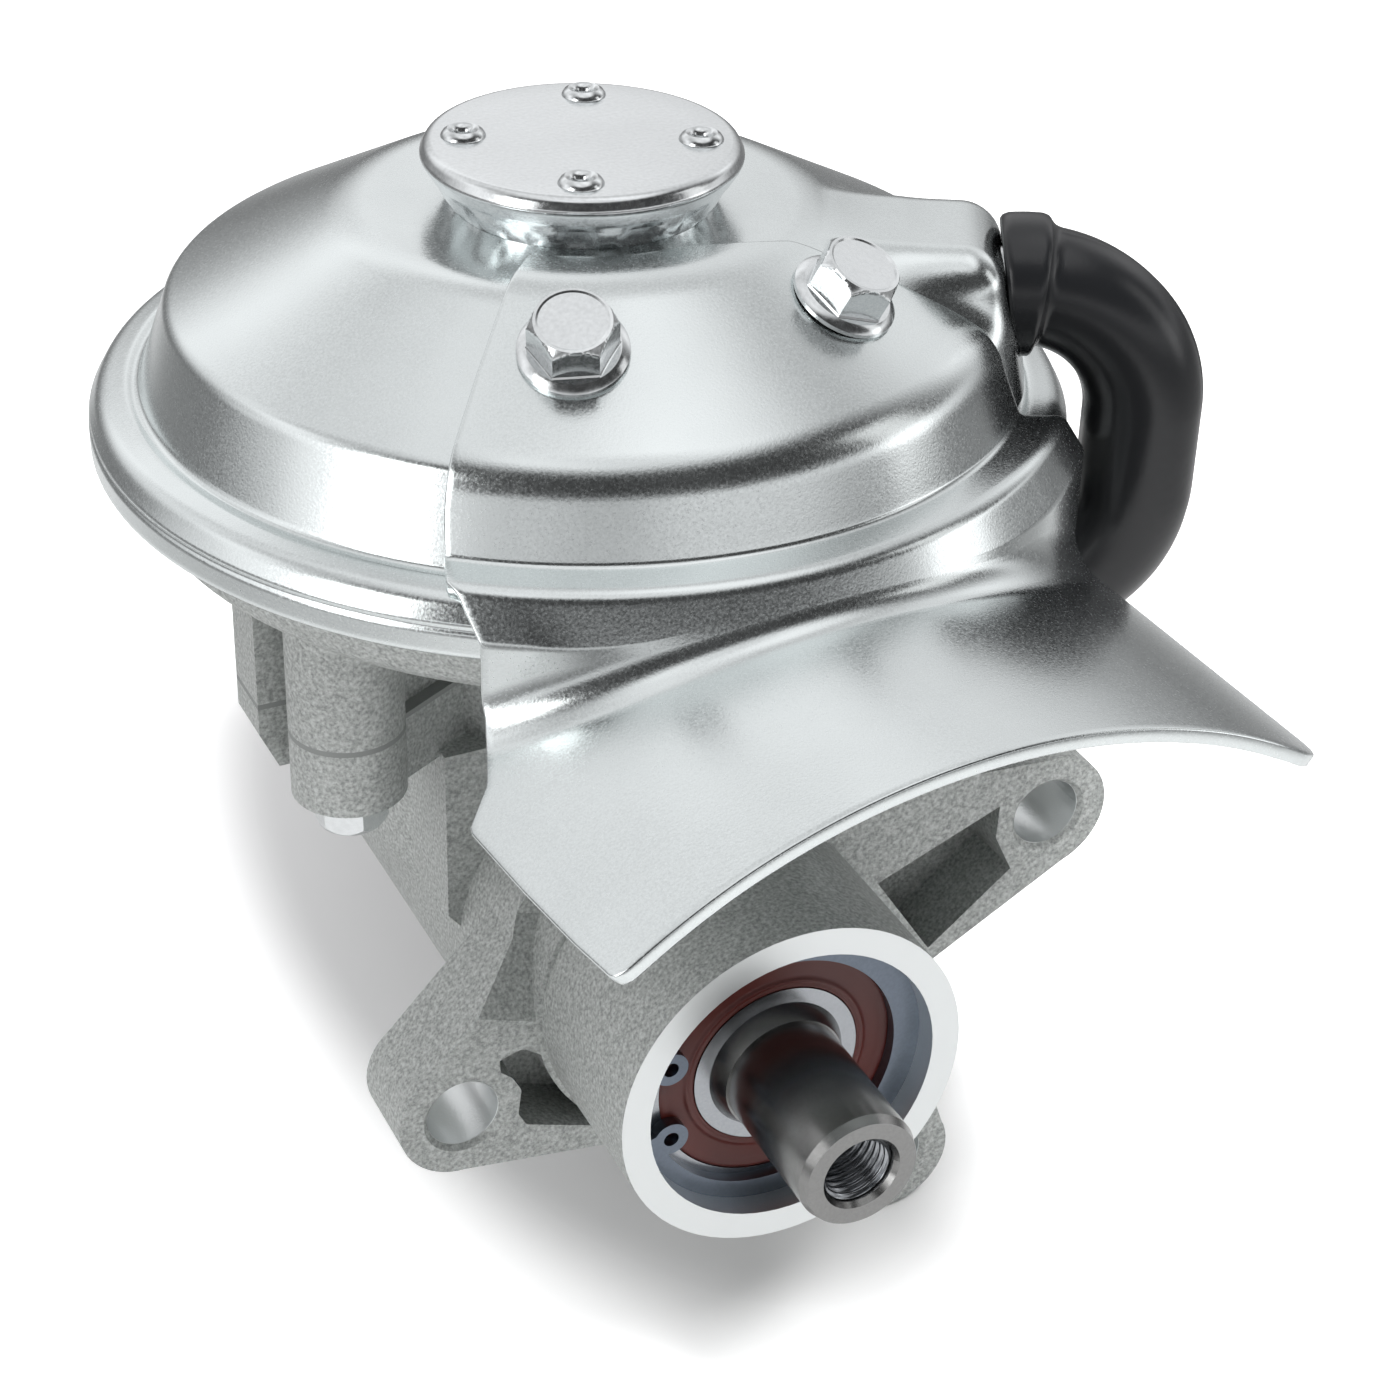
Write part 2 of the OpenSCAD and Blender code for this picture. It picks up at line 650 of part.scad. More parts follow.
// Die-cast rod: ring round the eccentric's bearing, I-section shank and a flat head
module connecting_rod() {
    head_z = rim_z + rim_top - 1.6;
    color("lightgray") difference() {
        union() {
            translate([0, dome_y, throw]) rotate([-90, 0, 0]) translate([0, 0, -ecc_w / 2])
                cylinder(r = rod_ring_r, h = ecc_w);
            difference() {
                translate([-8, dome_y - ecc_w / 2, throw + ecc_od / 2 + 1]) cube([16, ecc_w, head_z - throw - ecc_od / 2 - 3]);
                for (s = [-1, 1]) translate([-5, dome_y + s * ecc_w / 2 - 3.4, throw + rod_ring_r + 3])
                    cube([10, 6.8, head_z - throw - rod_ring_r - 12]);
            }
            translate([0, dome_y, head_z - 4]) cylinder(r = 13, h = 4);
        }
        translate([0, dome_y, throw]) rotate([-90, 0, 0]) translate([0, 0, -ecc_w / 2 - cut])
            cylinder(d = ecc_od, h = ecc_w + 2 * cut);
        translate([0, dome_y, head_z - 16]) cylinder(d = bolt_m8, h = 17);
    }
}

module eccentric_bearing_outer() {
    color("silver") translate([0, 0, throw]) on_shaft(ecc_y) ball_outer(ecc_d, ecc_od, ecc_w, 6.35);
}

module eccentric_bearing_inner() {
    color("silver") translate([0, 0, throw]) on_shaft(ecc_y) ball_inner(ecc_d, ecc_od, ecc_w, 6.35);
}

module eccentric_bearing_balls() {
    color("gainsboro") translate([0, 0, throw]) on_shaft(ecc_y) ball_set(ecc_d, ecc_od, ecc_w, 6.35, 9);
}

// One turned shaft with a ground front journal, an eccentric and a tail journal
module drive_shaft() {
    tip_r = shaft_d / 2;
    color("#4a4a4c") difference() {
        union() {
            on_shaft(-shaft_out) rotate_extrude() polygon([[0, 0], [tip_r - 0.5, 0],
                [tip_r, shaft_chamfer], [tip_r, shaft_out + front_set + front_w], [0, shaft_out + front_set + front_w]]);
            on_shaft(front_set - shaft_shoulder) cylinder(r1 = tip_r + 0.3, r2 = tip_r + 1.5, h = shaft_shoulder);
            on_shaft(front_set + front_w) cylinder(r = tip_r + 2, h = chamber_y0 + 3 - front_set - front_w);
            on_shaft(chamber_y0 + 3) cylinder(d = tail_d, h = tail_y + tail_w - 1 - chamber_y0 - 3);
            translate([0, 0, throw]) on_shaft(ecc_y) cylinder(d = ecc_d, h = ecc_w);
            on_shaft(ecc_y + ecc_w + 1) cylinder(r = tail_d / 2 + 2, h = tail_y - ecc_y - ecc_w - 1);
        }
        on_shaft(-shaft_out - cut) cylinder(d = thread_d, h = thread_depth + cut);
        on_shaft(-shaft_out) translate([0, 0, -0.01]) cylinder(d1 = thread_d + 1, d2 = thread_d, h = 0.8);
    }
}

module front_bearing_inner() {
    color("silver") on_shaft(front_set) ball_inner(shaft_d, front_od, front_w, 6.75);
}

module front_bearing_outer() {
    color("silver") on_shaft(front_set) difference() {
        ball_outer(shaft_d, front_od, front_w, 6.75);
        translate([0, 0, -cut]) cylinder(r = seal_r, h = cut + 1.2);
    }
}

module front_bearing_balls() {
    color("gainsboro") on_shaft(front_set) ball_set(shaft_d, front_od, front_w, 6.75, 8);
}

// Red-brown rubber seal in the front bearing's outer ring
module front_bearing_seal() {
    pitch_r = (shaft_d + front_od) / 4;
    color("#6e2a24") on_shaft(front_set + 0.3)
        tube(seal_r - seat, pitch_r - 6.75 * 0.3 + 0.1, 0.9);
}

module front_circlip() {
    color("#3a4048") on_shaft(front_set - clip_t) clip(mouth_d / 2 + 1, front_od / 2 - 1.9, clip_t, 178.6);
}

module tail_bearing_inner() {
    color("silver") on_shaft(tail_y) ball_inner(tail_d, tail_od, tail_w, 5.95);
}

module tail_bearing_outer() {
    color("silver") on_shaft(tail_y) ball_outer(tail_d, tail_od, tail_w, 5.95);
}

module tail_bearing_balls() {
    color("gainsboro") on_shaft(tail_y) ball_set(tail_d, tail_od, tail_w, 5.95, 8);
}

// Turned plug that closes the crank chamber and carries the tail bearing
module rear_plug() {
    color("lightgray") difference() {
        on_shaft(plug_y) cylinder(r = chamber_r - seat, h = clip_y - clip_t - plug_y);
        on_shaft(plug_y - cut) cylinder(d = tail_od, h = tail_y + tail_w - plug_y + cut);
        on_shaft(plug_y) cylinder(d = tail_od - 7, h = tail_y + tail_w + 0.8 - plug_y);
        on_shaft(clip_y - clip_t - 5.6) tube(chamber_r + cut, chamber_r - 1.6, 2.4);
    }
}

module plug_ring() {
    color("black") on_shaft(clip_y - clip_t - 5.5) tube(chamber_r - seat, chamber_r - 1.6 + seat, 2.2);
}

module rear_circlip() {
    color("#3a4048") on_shaft(clip_y - clip_t) clip(chamber_r + 1.1, chamber_r - 3, clip_t, 90);
}

// Upper casting: bowl under the diaphragm, neck, four posts and the two ports
module diaphragm_housing() {
    under = -bowl_h;
    split = split_z - rim_z + gasket_t;
    color("darkgray") in_dome() difference() {
        union() {
            rotate_extrude($fn = 96) polygon(concat(rounded([
                [neck_bore_r, under, 0],
                [bowl_r - 1, under, 1.5],
                [bowl_r + 2.2, under + 2.6, 4],
                [rim_r - 4.1, rim_bottom - lip_t, 0]]), [
                [rim_r - 4.1, rim_bottom],
                [rim_inner_r, rim_bottom],
                [rim_inner_r, rim_top]], rounded([
                [bowl_r + 2, rim_top, 0],
                [bowl_r - 1.5, under + 4, 4],
                [neck_bore_r, under + 4, 0]])));
            translate([0, 0, split]) tube(neck_r, neck_bore_r, under + 2 - split);
            at_posts() translate([0, 0, split]) cylinder(d = post_d, h = under + 2 - split);
            for (a = post_angles) rotate([0, 0, a]) translate([neck_r - 2, -3, split])
                cube([post_r - neck_r, 6, under + 2 - split]);
            translate([0, 0, split]) linear_extrude(under + 2 - split) rib_outline();
            at_port() translate([0, 0, -port_x + neck_r - 3]) cylinder(r = 9.4, h = port_x - neck_r + 3 - 0.3);
            at_nipple() translate([0, 0, neck_r - 3]) cylinder(r = 8.5, h = 17);
        }
        translate([0, 0, split - 30]) cylinder(r = neck_r + 0.6, h = 30);
        at_posts() translate([0, 0, split - cut]) cylinder(d = screw_d + 2 * seat, h = 14 + cut);
        at_port() translate([0, 0, -8]) cylinder(r = tube_r + seat, h = 9);
        at_port() translate([0, 0, -14]) cylinder(r = tube_r - tube_t, h = 8);
        at_nipple() translate([0, 0, 38]) cylinder(d = nipple_root_d + 2 * seat, h = 20);
        at_nipple() translate([0, 0, neck_bore_r + 5]) cylinder(d = nipple_d - 3, h = 10);
    }
}

// Outline of the joint face between the castings
module joint_outline() {
    circle(r = neck_r);
    for (a = post_angles) rotate(a) {
        translate([post_r, 0]) circle(d = post_d);
        translate([neck_r - 2, -5]) square([post_r - neck_r, 10]);
    }
    rib_outline();
}

module housing_gasket() {
    color("dimgray") translate([0, dome_y, split_z]) linear_extrude(gasket_t) difference() {
        joint_outline();
        circle(r = neck_bore_r);
        for (a = post_angles) rotate(a) translate([post_r, 0]) circle(d = screw_d + 0.4);
    }
}

module housing_screws() {
    color("silver") translate([0, dome_y, split_z - lug_t]) at_posts() {
        mirror([0, 0, 1]) flanged_head(9, 6.2, 5.2);
        cylinder(d = screw_d, h = lug_t + gasket_t + 12);
    }
}

// Rib beside the left front lug that both castings share, drawn on the joint face
module rib_outline() {
    translate([3 - post_r - post_d / 2 + 1.6, -16.5]) square([22, 9]);
}

// Slanted underside of the shared rib, drawn in x and height
module rib_slant() {
    x = 3 - post_r - post_d / 2;
    upright(dome_y - 17.5, dome_y - 6.5) polygon([[x - 2, split_z - lug_t + 8.8], [x + 0.1, split_z - lug_t + 8.8],
        [x + 4.6, split_z - lug_t - cut], [x - 2, split_z - lug_t - cut]]);
}

// Lower casting: barrel, nose, three ears, deck with four lugs
module crankcase() {
    color("darkgray") difference() {
        union() {
            on_shaft(0) cylinder(d = nose_d, h = ear_y + ear_t);
            on_shaft(ear_y + 4) cylinder(r = barrel_r, h = rear_y - ear_y - 4);
            upright(ear_y, ear_y + ear_t) {
                link(barrel_r - 2, ears[0], ear_r);
                link(barrel_r - 4, ears[1], ear_r);
                link(barrel_r - 4, ears[2], ear_r);
            }
            upright(dome_y - 25, rear_y - 5) polygon([[-31, split_z - lug_t + 1], [-31, 6],
                [-20, -8], [20, -8], [31, 6], [31, split_z - lug_t + 1]]);
            translate([0, dome_y, split_z - lug_t]) {
                linear_extrude(lug_t) joint_outline();
                translate([0, 0, -26]) cylinder(r = neck_r, h = 27);
                translate([0, 0, -36]) cylinder(r1 = neck_r - 3.8, r2 = neck_r - 0.6, h = 12);
            }
        }
        rib_slant();
        ear_pockets();
        on_shaft(-cut) cylinder(d = mouth_d, h = front_set + cut);
        on_shaft(front_set - clip_t) cylinder(r = mouth_d / 2 + 1, h = clip_t);
        on_shaft(0) cylinder(d = front_od, h = front_set + front_w);
        on_shaft(0) cylinder(r = front_od / 2 - 2.5, h = chamber_y0 + cut);
        on_shaft(chamber_y0) cylinder(r = chamber_r, h = rear_y - chamber_y0 + cut);
        on_shaft(clip_y - clip_t) cylinder(r = chamber_r + 1.2, h = clip_t);
        translate([0, dome_y, 0]) cylinder(r = neck_bore_r, h = split_z + cut);
        translate([0, dome_y, split_z - lug_t - cut]) at_posts()
            cylinder(d = screw_d + 0.6, h = lug_t + 2 * cut);
        for (e = ears) translate([e[0], ear_y, e[1]]) rotate([-90, 0, 0]) {
            translate([0, 0, -cut]) cylinder(d = ear_bore, h = ear_t + 2 * cut);
            translate([0, 0, -0.01]) cylinder(d1 = ear_bore + 1.6, d2 = ear_bore, h = 0.8);
            translate([0, 0, ear_t - 0.79]) cylinder(d1 = ear_bore, d2 = ear_bore + 1.6, h = 0.8);
        }
        arm_shoulder();
    }
}

// Pockets cast between the ribs of the ears, open to the front
module ear_pockets() {
    upright(ear_y - cut, ear_y + ear_t - 3) difference() {
        union() {
            translate(ears[0]) polygon(rounded([[5.3, 8, 0], [8.7, 9.1, 1.5], [12.1, 6.6, 1], [24, 0, 0], [20, -8.6, 0],
                [9.2, -4.7, 1], [8, -2.4, 0.8], [8.5, 1.8, 1.5], [7.2, 4.3, 1], [5.4, 5.9, 0.6]]));
            translate(ears[1]) polygon([[-27.9, -4.3], [-8.4, 3.7], [-8.6, -1.8], [-5.6, -8], [-18.6, -18.6]]);
            pocket_outline(ears[2]);
        }
        circle(r = nose_d / 2 + 0.8);
        translate(ears[1]) circle(r = ear_r - 1.2);
        translate(ears[2]) circle(r = ear_r - 0.8);
    }
}

// Slope from the left arm's front ridge back to its upper flank
module arm_shoulder() {
    difference() {
        translate([-31, 0, 1.9]) rotate([0, 20, 0]) translate([-4, 0, 0]) rotate([90, 0, 90])
            linear_extrude(30) polygon([[ear_y - cut, -1.9], [ear_y + 7, 13], [ear_y + 7, 30], [ear_y - cut, 30]]);
        on_shaft(0) cylinder(r = nose_d / 2 + 0.8, h = ear_y + ear_t);
    }
}

// Tapered outline 3.5 mm inside the arm that leads to an ear
module pocket_outline(e) {
    rotate(atan2(e[1], e[0])) polygon([[nose_d / 2 - 2, nose_d / 2 - 8], [norm(e), ear_r - 4.5],
        [norm(e), 4.5 - ear_r], [nose_d / 2 - 2, 8 - nose_d / 2]]);
}

crankcase();
diaphragm_housing();
housing_gasket();
housing_screws();
top_cover();
snout_tube();
valve_plate();
intake_valves();
exhaust_valve();
exhaust_sleeve();
vent_cap();
cap_rivets();
shield();
shield_bolts();
weld_nuts();
hose();
port_tube();
vacuum_nipple();
diaphragm();
upper_plate();
lower_plate();
diaphragm_screw();
connecting_rod();
eccentric_bearing_outer();
eccentric_bearing_inner();
eccentric_bearing_balls();
drive_shaft();
front_bearing_inner();
front_bearing_outer();
front_bearing_balls();
front_bearing_seal();
front_circlip();
tail_bearing_inner();
tail_bearing_outer();
tail_bearing_balls();
rear_plug();
rear_circlip();
plug_ring();
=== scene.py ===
import bmesh
import bpy
import json
import math
import numpy as np
from mathutils import Matrix, Vector


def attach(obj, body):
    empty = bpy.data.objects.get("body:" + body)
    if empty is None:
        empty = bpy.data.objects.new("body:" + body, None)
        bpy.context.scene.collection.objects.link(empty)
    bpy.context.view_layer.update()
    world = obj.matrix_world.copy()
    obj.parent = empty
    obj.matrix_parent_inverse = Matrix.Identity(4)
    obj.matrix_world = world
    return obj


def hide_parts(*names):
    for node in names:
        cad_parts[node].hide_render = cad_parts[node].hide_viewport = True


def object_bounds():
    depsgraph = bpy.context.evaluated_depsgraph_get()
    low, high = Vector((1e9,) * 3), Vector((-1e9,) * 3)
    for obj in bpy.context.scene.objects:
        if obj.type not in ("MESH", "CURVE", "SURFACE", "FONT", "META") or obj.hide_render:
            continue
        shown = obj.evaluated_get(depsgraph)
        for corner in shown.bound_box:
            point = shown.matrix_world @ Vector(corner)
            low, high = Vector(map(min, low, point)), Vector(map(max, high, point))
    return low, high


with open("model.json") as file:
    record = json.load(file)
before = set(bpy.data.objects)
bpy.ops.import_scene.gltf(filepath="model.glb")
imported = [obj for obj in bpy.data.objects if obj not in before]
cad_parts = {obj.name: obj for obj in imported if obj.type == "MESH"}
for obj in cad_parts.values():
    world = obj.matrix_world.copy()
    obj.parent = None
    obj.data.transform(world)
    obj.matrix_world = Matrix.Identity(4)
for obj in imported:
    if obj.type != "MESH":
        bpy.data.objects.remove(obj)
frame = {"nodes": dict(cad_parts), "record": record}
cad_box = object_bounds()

nodes = frame["nodes"]
scene = bpy.context.scene

# Camera: a long lens from the front left, above the shaft, as the photograph was taken. Its place is
# in metres, and right, up and back are its own axes.
camera_data = bpy.data.cameras.new("camera")
camera_data.sensor_width = 36.0
camera_data.lens = 76.0
camera_data.clip_start = 0.01
camera = bpy.data.objects.new("camera", camera_data)
CAMERA_PLACE = (-0.15049, -0.26829, 0.25418)
right, up, back = (0.9008, -0.43344, 0.02623), (0.21114, 0.48997, 0.84578), (-0.37945, -0.75634, 0.53288)
camera.matrix_world = Matrix.Translation(CAMERA_PLACE) @ Matrix((right, up, back)).transposed().to_4x4()
scene.collection.objects.link(camera)
scene.camera = camera
scene.view_settings.view_transform = "Standard"


# Floor: a wide pale sheet just under the lowest ear. It keeps the pump's shadow in an oval round the foot.
# For the camera it glows white beyond the oval, a painted glow that ends the shadow there, and inside the
# oval its colour is painted darker towards the foot, a painted shade. In reflections its colour darkens with
# distance, a painted shade like a table in a dark studio.
def linear(hex_colour):
    """Linear RGBA from an sRGB hex string."""
    values = [int(hex_colour[i:i + 2], 16) / 255 for i in (1, 3, 5)]
    return tuple(v / 12.92 if v <= 0.04045 else ((v + 0.055) / 1.055) ** 2.4 for v in values) + (1.0,)


def add(tree, kind, **sockets):
    """Adds a node; a socket gets a value, or a link when an output is given."""
    made = tree.nodes.new(kind)
    for key, value in sockets.items():
        name = key.replace("_", " ")
        if hasattr(made, key) and key not in made.inputs and name not in made.inputs:
            setattr(made, key, value)
            continue
        socket = made.inputs[int(key[1:])] if key[0] == "i" and key[1:].isdigit() else made.inputs[name]
        if isinstance(value, bpy.types.NodeSocket):
            tree.links.new(value, socket)
        else:
            socket.default_value = value
    return made


def new_material(name):
    """A material with an empty node tree, and the output node's surface socket."""
    material = bpy.data.materials.new(name)
    material.use_nodes = True
    tree = material.node_tree
    tree.nodes.clear()
    return material, tree, tree.nodes.new("ShaderNodeOutputMaterial").inputs["Surface"]


def new_object(name, vertices, faces, material, smooth=True):
    """A mesh object from an (n, 3) array in metres and a list of faces."""
    mesh = bpy.data.meshes.new(name)
    mesh.from_pydata([tuple(v) for v in np.asarray(vertices)], [], [tuple(f) for f in faces])
    mesh.polygons.foreach_set("use_smooth", [smooth] * len(mesh.polygons))
    mesh.materials.append(material)
    mesh.update()
    made = bpy.data.objects.new(name, mesh)
    scene.collection.objects.link(made)
    return made


FLOOR_GAP, FLOOR_HALF = 0.0005, 6
OVAL_CENTRE, OVAL_SIZE = (0.020, 0.118), (0.048, 0.108)
floor_z = cad_box[0][2] - FLOOR_GAP
floor_material, tree, surface = new_material("white_floor")
place = add(tree, "ShaderNodeTexCoord").outputs["Object"]
under = add(tree, "ShaderNodeVectorMath", operation="SUBTRACT", i0=place,
            i1=(*OVAL_CENTRE, 0.0)).outputs[0]
oval = add(tree, "ShaderNodeVectorMath", operation="MULTIPLY", i0=under,
           i1=(1 / OVAL_SIZE[0], 1 / OVAL_SIZE[1], 0.0)).outputs[0]
away = add(tree, "ShaderNodeVectorMath", operation="LENGTH", i0=oval).outputs["Value"]
seen = add(tree, "ShaderNodeLightPath").outputs["Is Camera Ray"]
# Painted glow: for the camera the floor shines white beyond the oval, which hides the shadow there.
fade = add(tree, "ShaderNodeMapRange", interpolation_type="SMOOTHSTEP", Value=away,
           i1=0.9, i2=1.3, i3=0.0, i4=0.62).outputs[0]
painted_white_glow = add(tree, "ShaderNodeEmission", Color=(1, 1, 1, 1),
           Strength=add(tree, "ShaderNodeMath", operation="MULTIPLY", i0=fade, i1=seen).outputs[0])
# Painted shade: in reflections the floor's colour darkens with distance from the pump.
painted_far_shade = add(tree, "ShaderNodeMapRange", interpolation_type="SMOOTHSTEP", Value=away,
          i1=2.5, i2=8.0, i3=0.74, i4=0.30).outputs[0]
# Painted shade: for the camera the floor's colour darkens towards the pump's foot.
painted_foot_shade = add(tree, "ShaderNodeMapRange", interpolation_type="SMOOTHSTEP", Value=away,
           i1=0.3, i2=1.3, i3=0.70, i4=0.96).outputs[0]
white = add(tree, "ShaderNodeMix", data_type="FLOAT", Factor=seen)
tree.links.new(painted_far_shade, white.inputs[2])
tree.links.new(painted_foot_shade, white.inputs[3])
grey = add(tree, "ShaderNodeCombineXYZ", X=white.outputs[0], Y=white.outputs[0], Z=white.outputs[0])
plain = add(tree, "ShaderNodeBsdfDiffuse", Color=grey.outputs[0])
tree.links.new(add(tree, "ShaderNodeAddShader", i0=plain.outputs[0], i1=painted_white_glow.outputs[0]).outputs[0], surface)
corners = [(x * FLOOR_HALF, y * FLOOR_HALF, floor_z) for x, y in ((-1, -1), (1, -1), (1, 1), (-1, 1))]
floor = new_object("floor", corners, [(0, 1, 2, 3)], floor_material, False)

# World: white for the camera. Reflections see a bright ceiling, pale walls, a dark band high in
# front of the pump, a greyer ring high behind it and a white card at the left.
world = bpy.data.worlds.new("studio")
world.use_nodes = True
scene.world = world
tree = world.node_tree
tree.nodes.clear()
direction = add(tree, "ShaderNodeTexCoord").outputs["Generated"]
axes = add(tree, "ShaderNodeSeparateXYZ", Vector=direction)
level = add(tree, "ShaderNodeMapRange", Value=axes.outputs["Z"], i1=-1.0, i2=1.0).outputs[0]


def band(stops):
    """Ramp of greys over the direction's height; 0.5 is the horizon and 1 the zenith."""
    ramp = add(tree, "ShaderNodeValToRGB", Fac=level)
    elements = ramp.color_ramp.elements
    for k, (position, grey) in enumerate(stops):
        element = elements[k] if k < 2 else elements.new(position)
        element.position, element.color = position, (grey, grey, grey * 1.01, 1)
    return ramp.outputs["Color"]


front = band([(0.0, 0.5), (1.0, 1.0), (0.47, 0.35), (0.51, 0.22), (0.56, 0.85), (0.61, 0.80), (0.65, 0.05),
              (0.90, 0.05), (0.955, 0.95)])
behind = band([(0.0, 0.5), (1.0, 1.0), (0.47, 0.22), (0.55, 0.30), (0.66, 0.80), (0.74, 1.0), (0.83, 0.95),
               (0.89, 0.68), (0.94, 0.70), (0.985, 1.0)])
side = add(tree, "ShaderNodeMapRange", interpolation_type="SMOOTHSTEP", Value=axes.outputs["Y"],
           i1=-0.25, i2=0.3).outputs[0]
room = add(tree, "ShaderNodeMix", data_type="RGBA", Factor=side)
tree.links.new(front, room.inputs[6])
tree.links.new(behind, room.inputs[7])
left_card = add(tree, "ShaderNodeMapRange", interpolation_type="SMOOTHSTEP", Value=axes.outputs["X"],
                i1=-0.95, i2=-0.72, i3=1.0, i4=0.0)
lit = add(tree, "ShaderNodeMix", data_type="RGBA", Factor=left_card.outputs[0])
tree.links.new(room.outputs[2], lit.inputs[6])
lit.inputs[7].default_value = (0.95, 0.95, 0.96, 1)
cards = add(tree, "ShaderNodeTexNoise", Vector=direction, Scale=2.6, Detail=0.0).outputs["Fac"]
strength = add(tree, "ShaderNodeMapRange", Value=cards, i1=0.36, i2=0.62, i3=0.88, i4=1.2).outputs[0]
seen = add(tree, "ShaderNodeLightPath").outputs["Is Camera Ray"]
mixed = add(tree, "ShaderNodeMixShader", Fac=seen,
            i1=add(tree, "ShaderNodeBackground", Color=lit.outputs[2], Strength=strength).outputs[0],
            i2=add(tree, "ShaderNodeBackground", Color=(1, 1, 1, 1), Strength=1.0).outputs[0])
tree.links.new(mixed.outputs[0], add(tree, "ShaderNodeOutputWorld").inputs["Surface"])


# Lights: a soft box above in front, which sets the shadow and stays out of reflections, a strip from
# the left and a weaker one from the right.
def area_light(name, place, target, size, power):
    """Rectangular lamp at place, aimed at target; sizes are in metres and power in watts."""
    data = bpy.data.lights.new(name, "AREA")
    data.shape = "RECTANGLE"
    data.size, data.size_y = size
    data.energy = power
    made = bpy.data.objects.new(name, data)
    made.location = place
    made.rotation_mode = "QUATERNION"
    made.rotation_quaternion = (Vector(target) - Vector(place)).to_track_quat("-Z", "Y")
    scene.collection.objects.link(made)
    return made


soft_box = area_light("soft_box", (0.10, -0.36, 0.80), (0, 0.07, 0.0), (0.28, 0.28), 7.0)
soft_box.visible_glossy = False
area_light("left_strip", (-0.65, -0.15, 0.25), (0, 0.05, 0.03), (0.25, 0.6), 1.3)
area_light("right_strip", (0.6, -0.25, 0.3), (0, 0.05, 0.03), (0.2, 0.5), 0.3)


# Bright zinc-plated sheet and parts: satin metal whose plating shows as a fine even grain. The grain
# is drawn coarser than real plating, so that it shows. Bearing steel is ground, the shaft oiled and
# dark; both have next to no relief.
def plated_metal(name, colour, rough=0.26, grain=0.35, depth=0.008):
    """grain is the speckle's size in mm, depth the bump's height in mm."""
    material, tree, surface = new_material(name)
    place = add(tree, "ShaderNodeTexCoord").outputs["Object"]
    fine = add(tree, "ShaderNodeTexNoise", Vector=place, Scale=1000 / grain, Detail=2.0)
    broad = add(tree, "ShaderNodeTexNoise", Vector=place, Scale=60.0, Detail=3.0)
    speckle = add(tree, "ShaderNodeMapRange", Value=fine.outputs["Fac"],
                  i1=0.3, i2=0.7, i3=-0.35, i4=0.35).outputs[0]
    shade = add(tree, "ShaderNodeMath", operation="ADD", use_clamp=True,
                i0=broad.outputs["Fac"], i1=speckle).outputs[0]
    tint = add(tree, "ShaderNodeMix", data_type="RGBA", Factor=shade)
    base = linear(colour)
    tint.inputs[6].default_value = tuple(0.9 * v for v in base[:3]) + (1,)
    tint.inputs[7].default_value = tuple(min(1, 1.06 * v) for v in base[:3]) + (1,)
    spread = min(0.06, depth * 7)
    roughness = add(tree, "ShaderNodeMapRange", Value=fine.outputs["Fac"],
                    i1=0.3, i2=0.7, i3=rough - spread, i4=rough + spread)
    bump = add(tree, "ShaderNodeBump", Height=fine.outputs["Fac"], Distance=depth / 1000, Strength=1.0)
    shader = add(tree, "ShaderNodeBsdfPrincipled", Base_Color=tint.outputs[2], Metallic=1.0,
                 Roughness=roughness.outputs[0], Normal=bump.outputs[0])
    tree.links.new(shader.outputs[0], surface)
    return material


zinc_sheet = plated_metal("zinc_plated_sheet", "#e3e8e8", rough=0.22, depth=0.011)
zinc_bright = plated_metal("bright_zinc_plate", "#e4e7e8", rough=0.2, grain=0.6, depth=0.006)
ground_steel = plated_metal("ground_bearing_steel", "#a9acb0", rough=0.24, grain=0.5, depth=0.001)
dark_steel = plated_metal("oiled_dark_steel", "#8f8f8e", rough=0.24, grain=0.5, depth=0.0006)


# Die-cast aluminium: grey and matt with a speckle of about 0.5 mm, drawn coarser than the die's real
# grain so that it shows. It is bright where it was machined: the nose's end face and mouth, and the
# three ears' bores. The turned face's rings are drawn coarser too.
# Places and radii of the bores are (x, z, radius) in mm.
MACHINED_BORES = ((-36.9, -13.0, 5.3), (54.6, 12.5, 5.3), (32.5, -45.0, 5.3), (0.0, 0.0, 21.4))


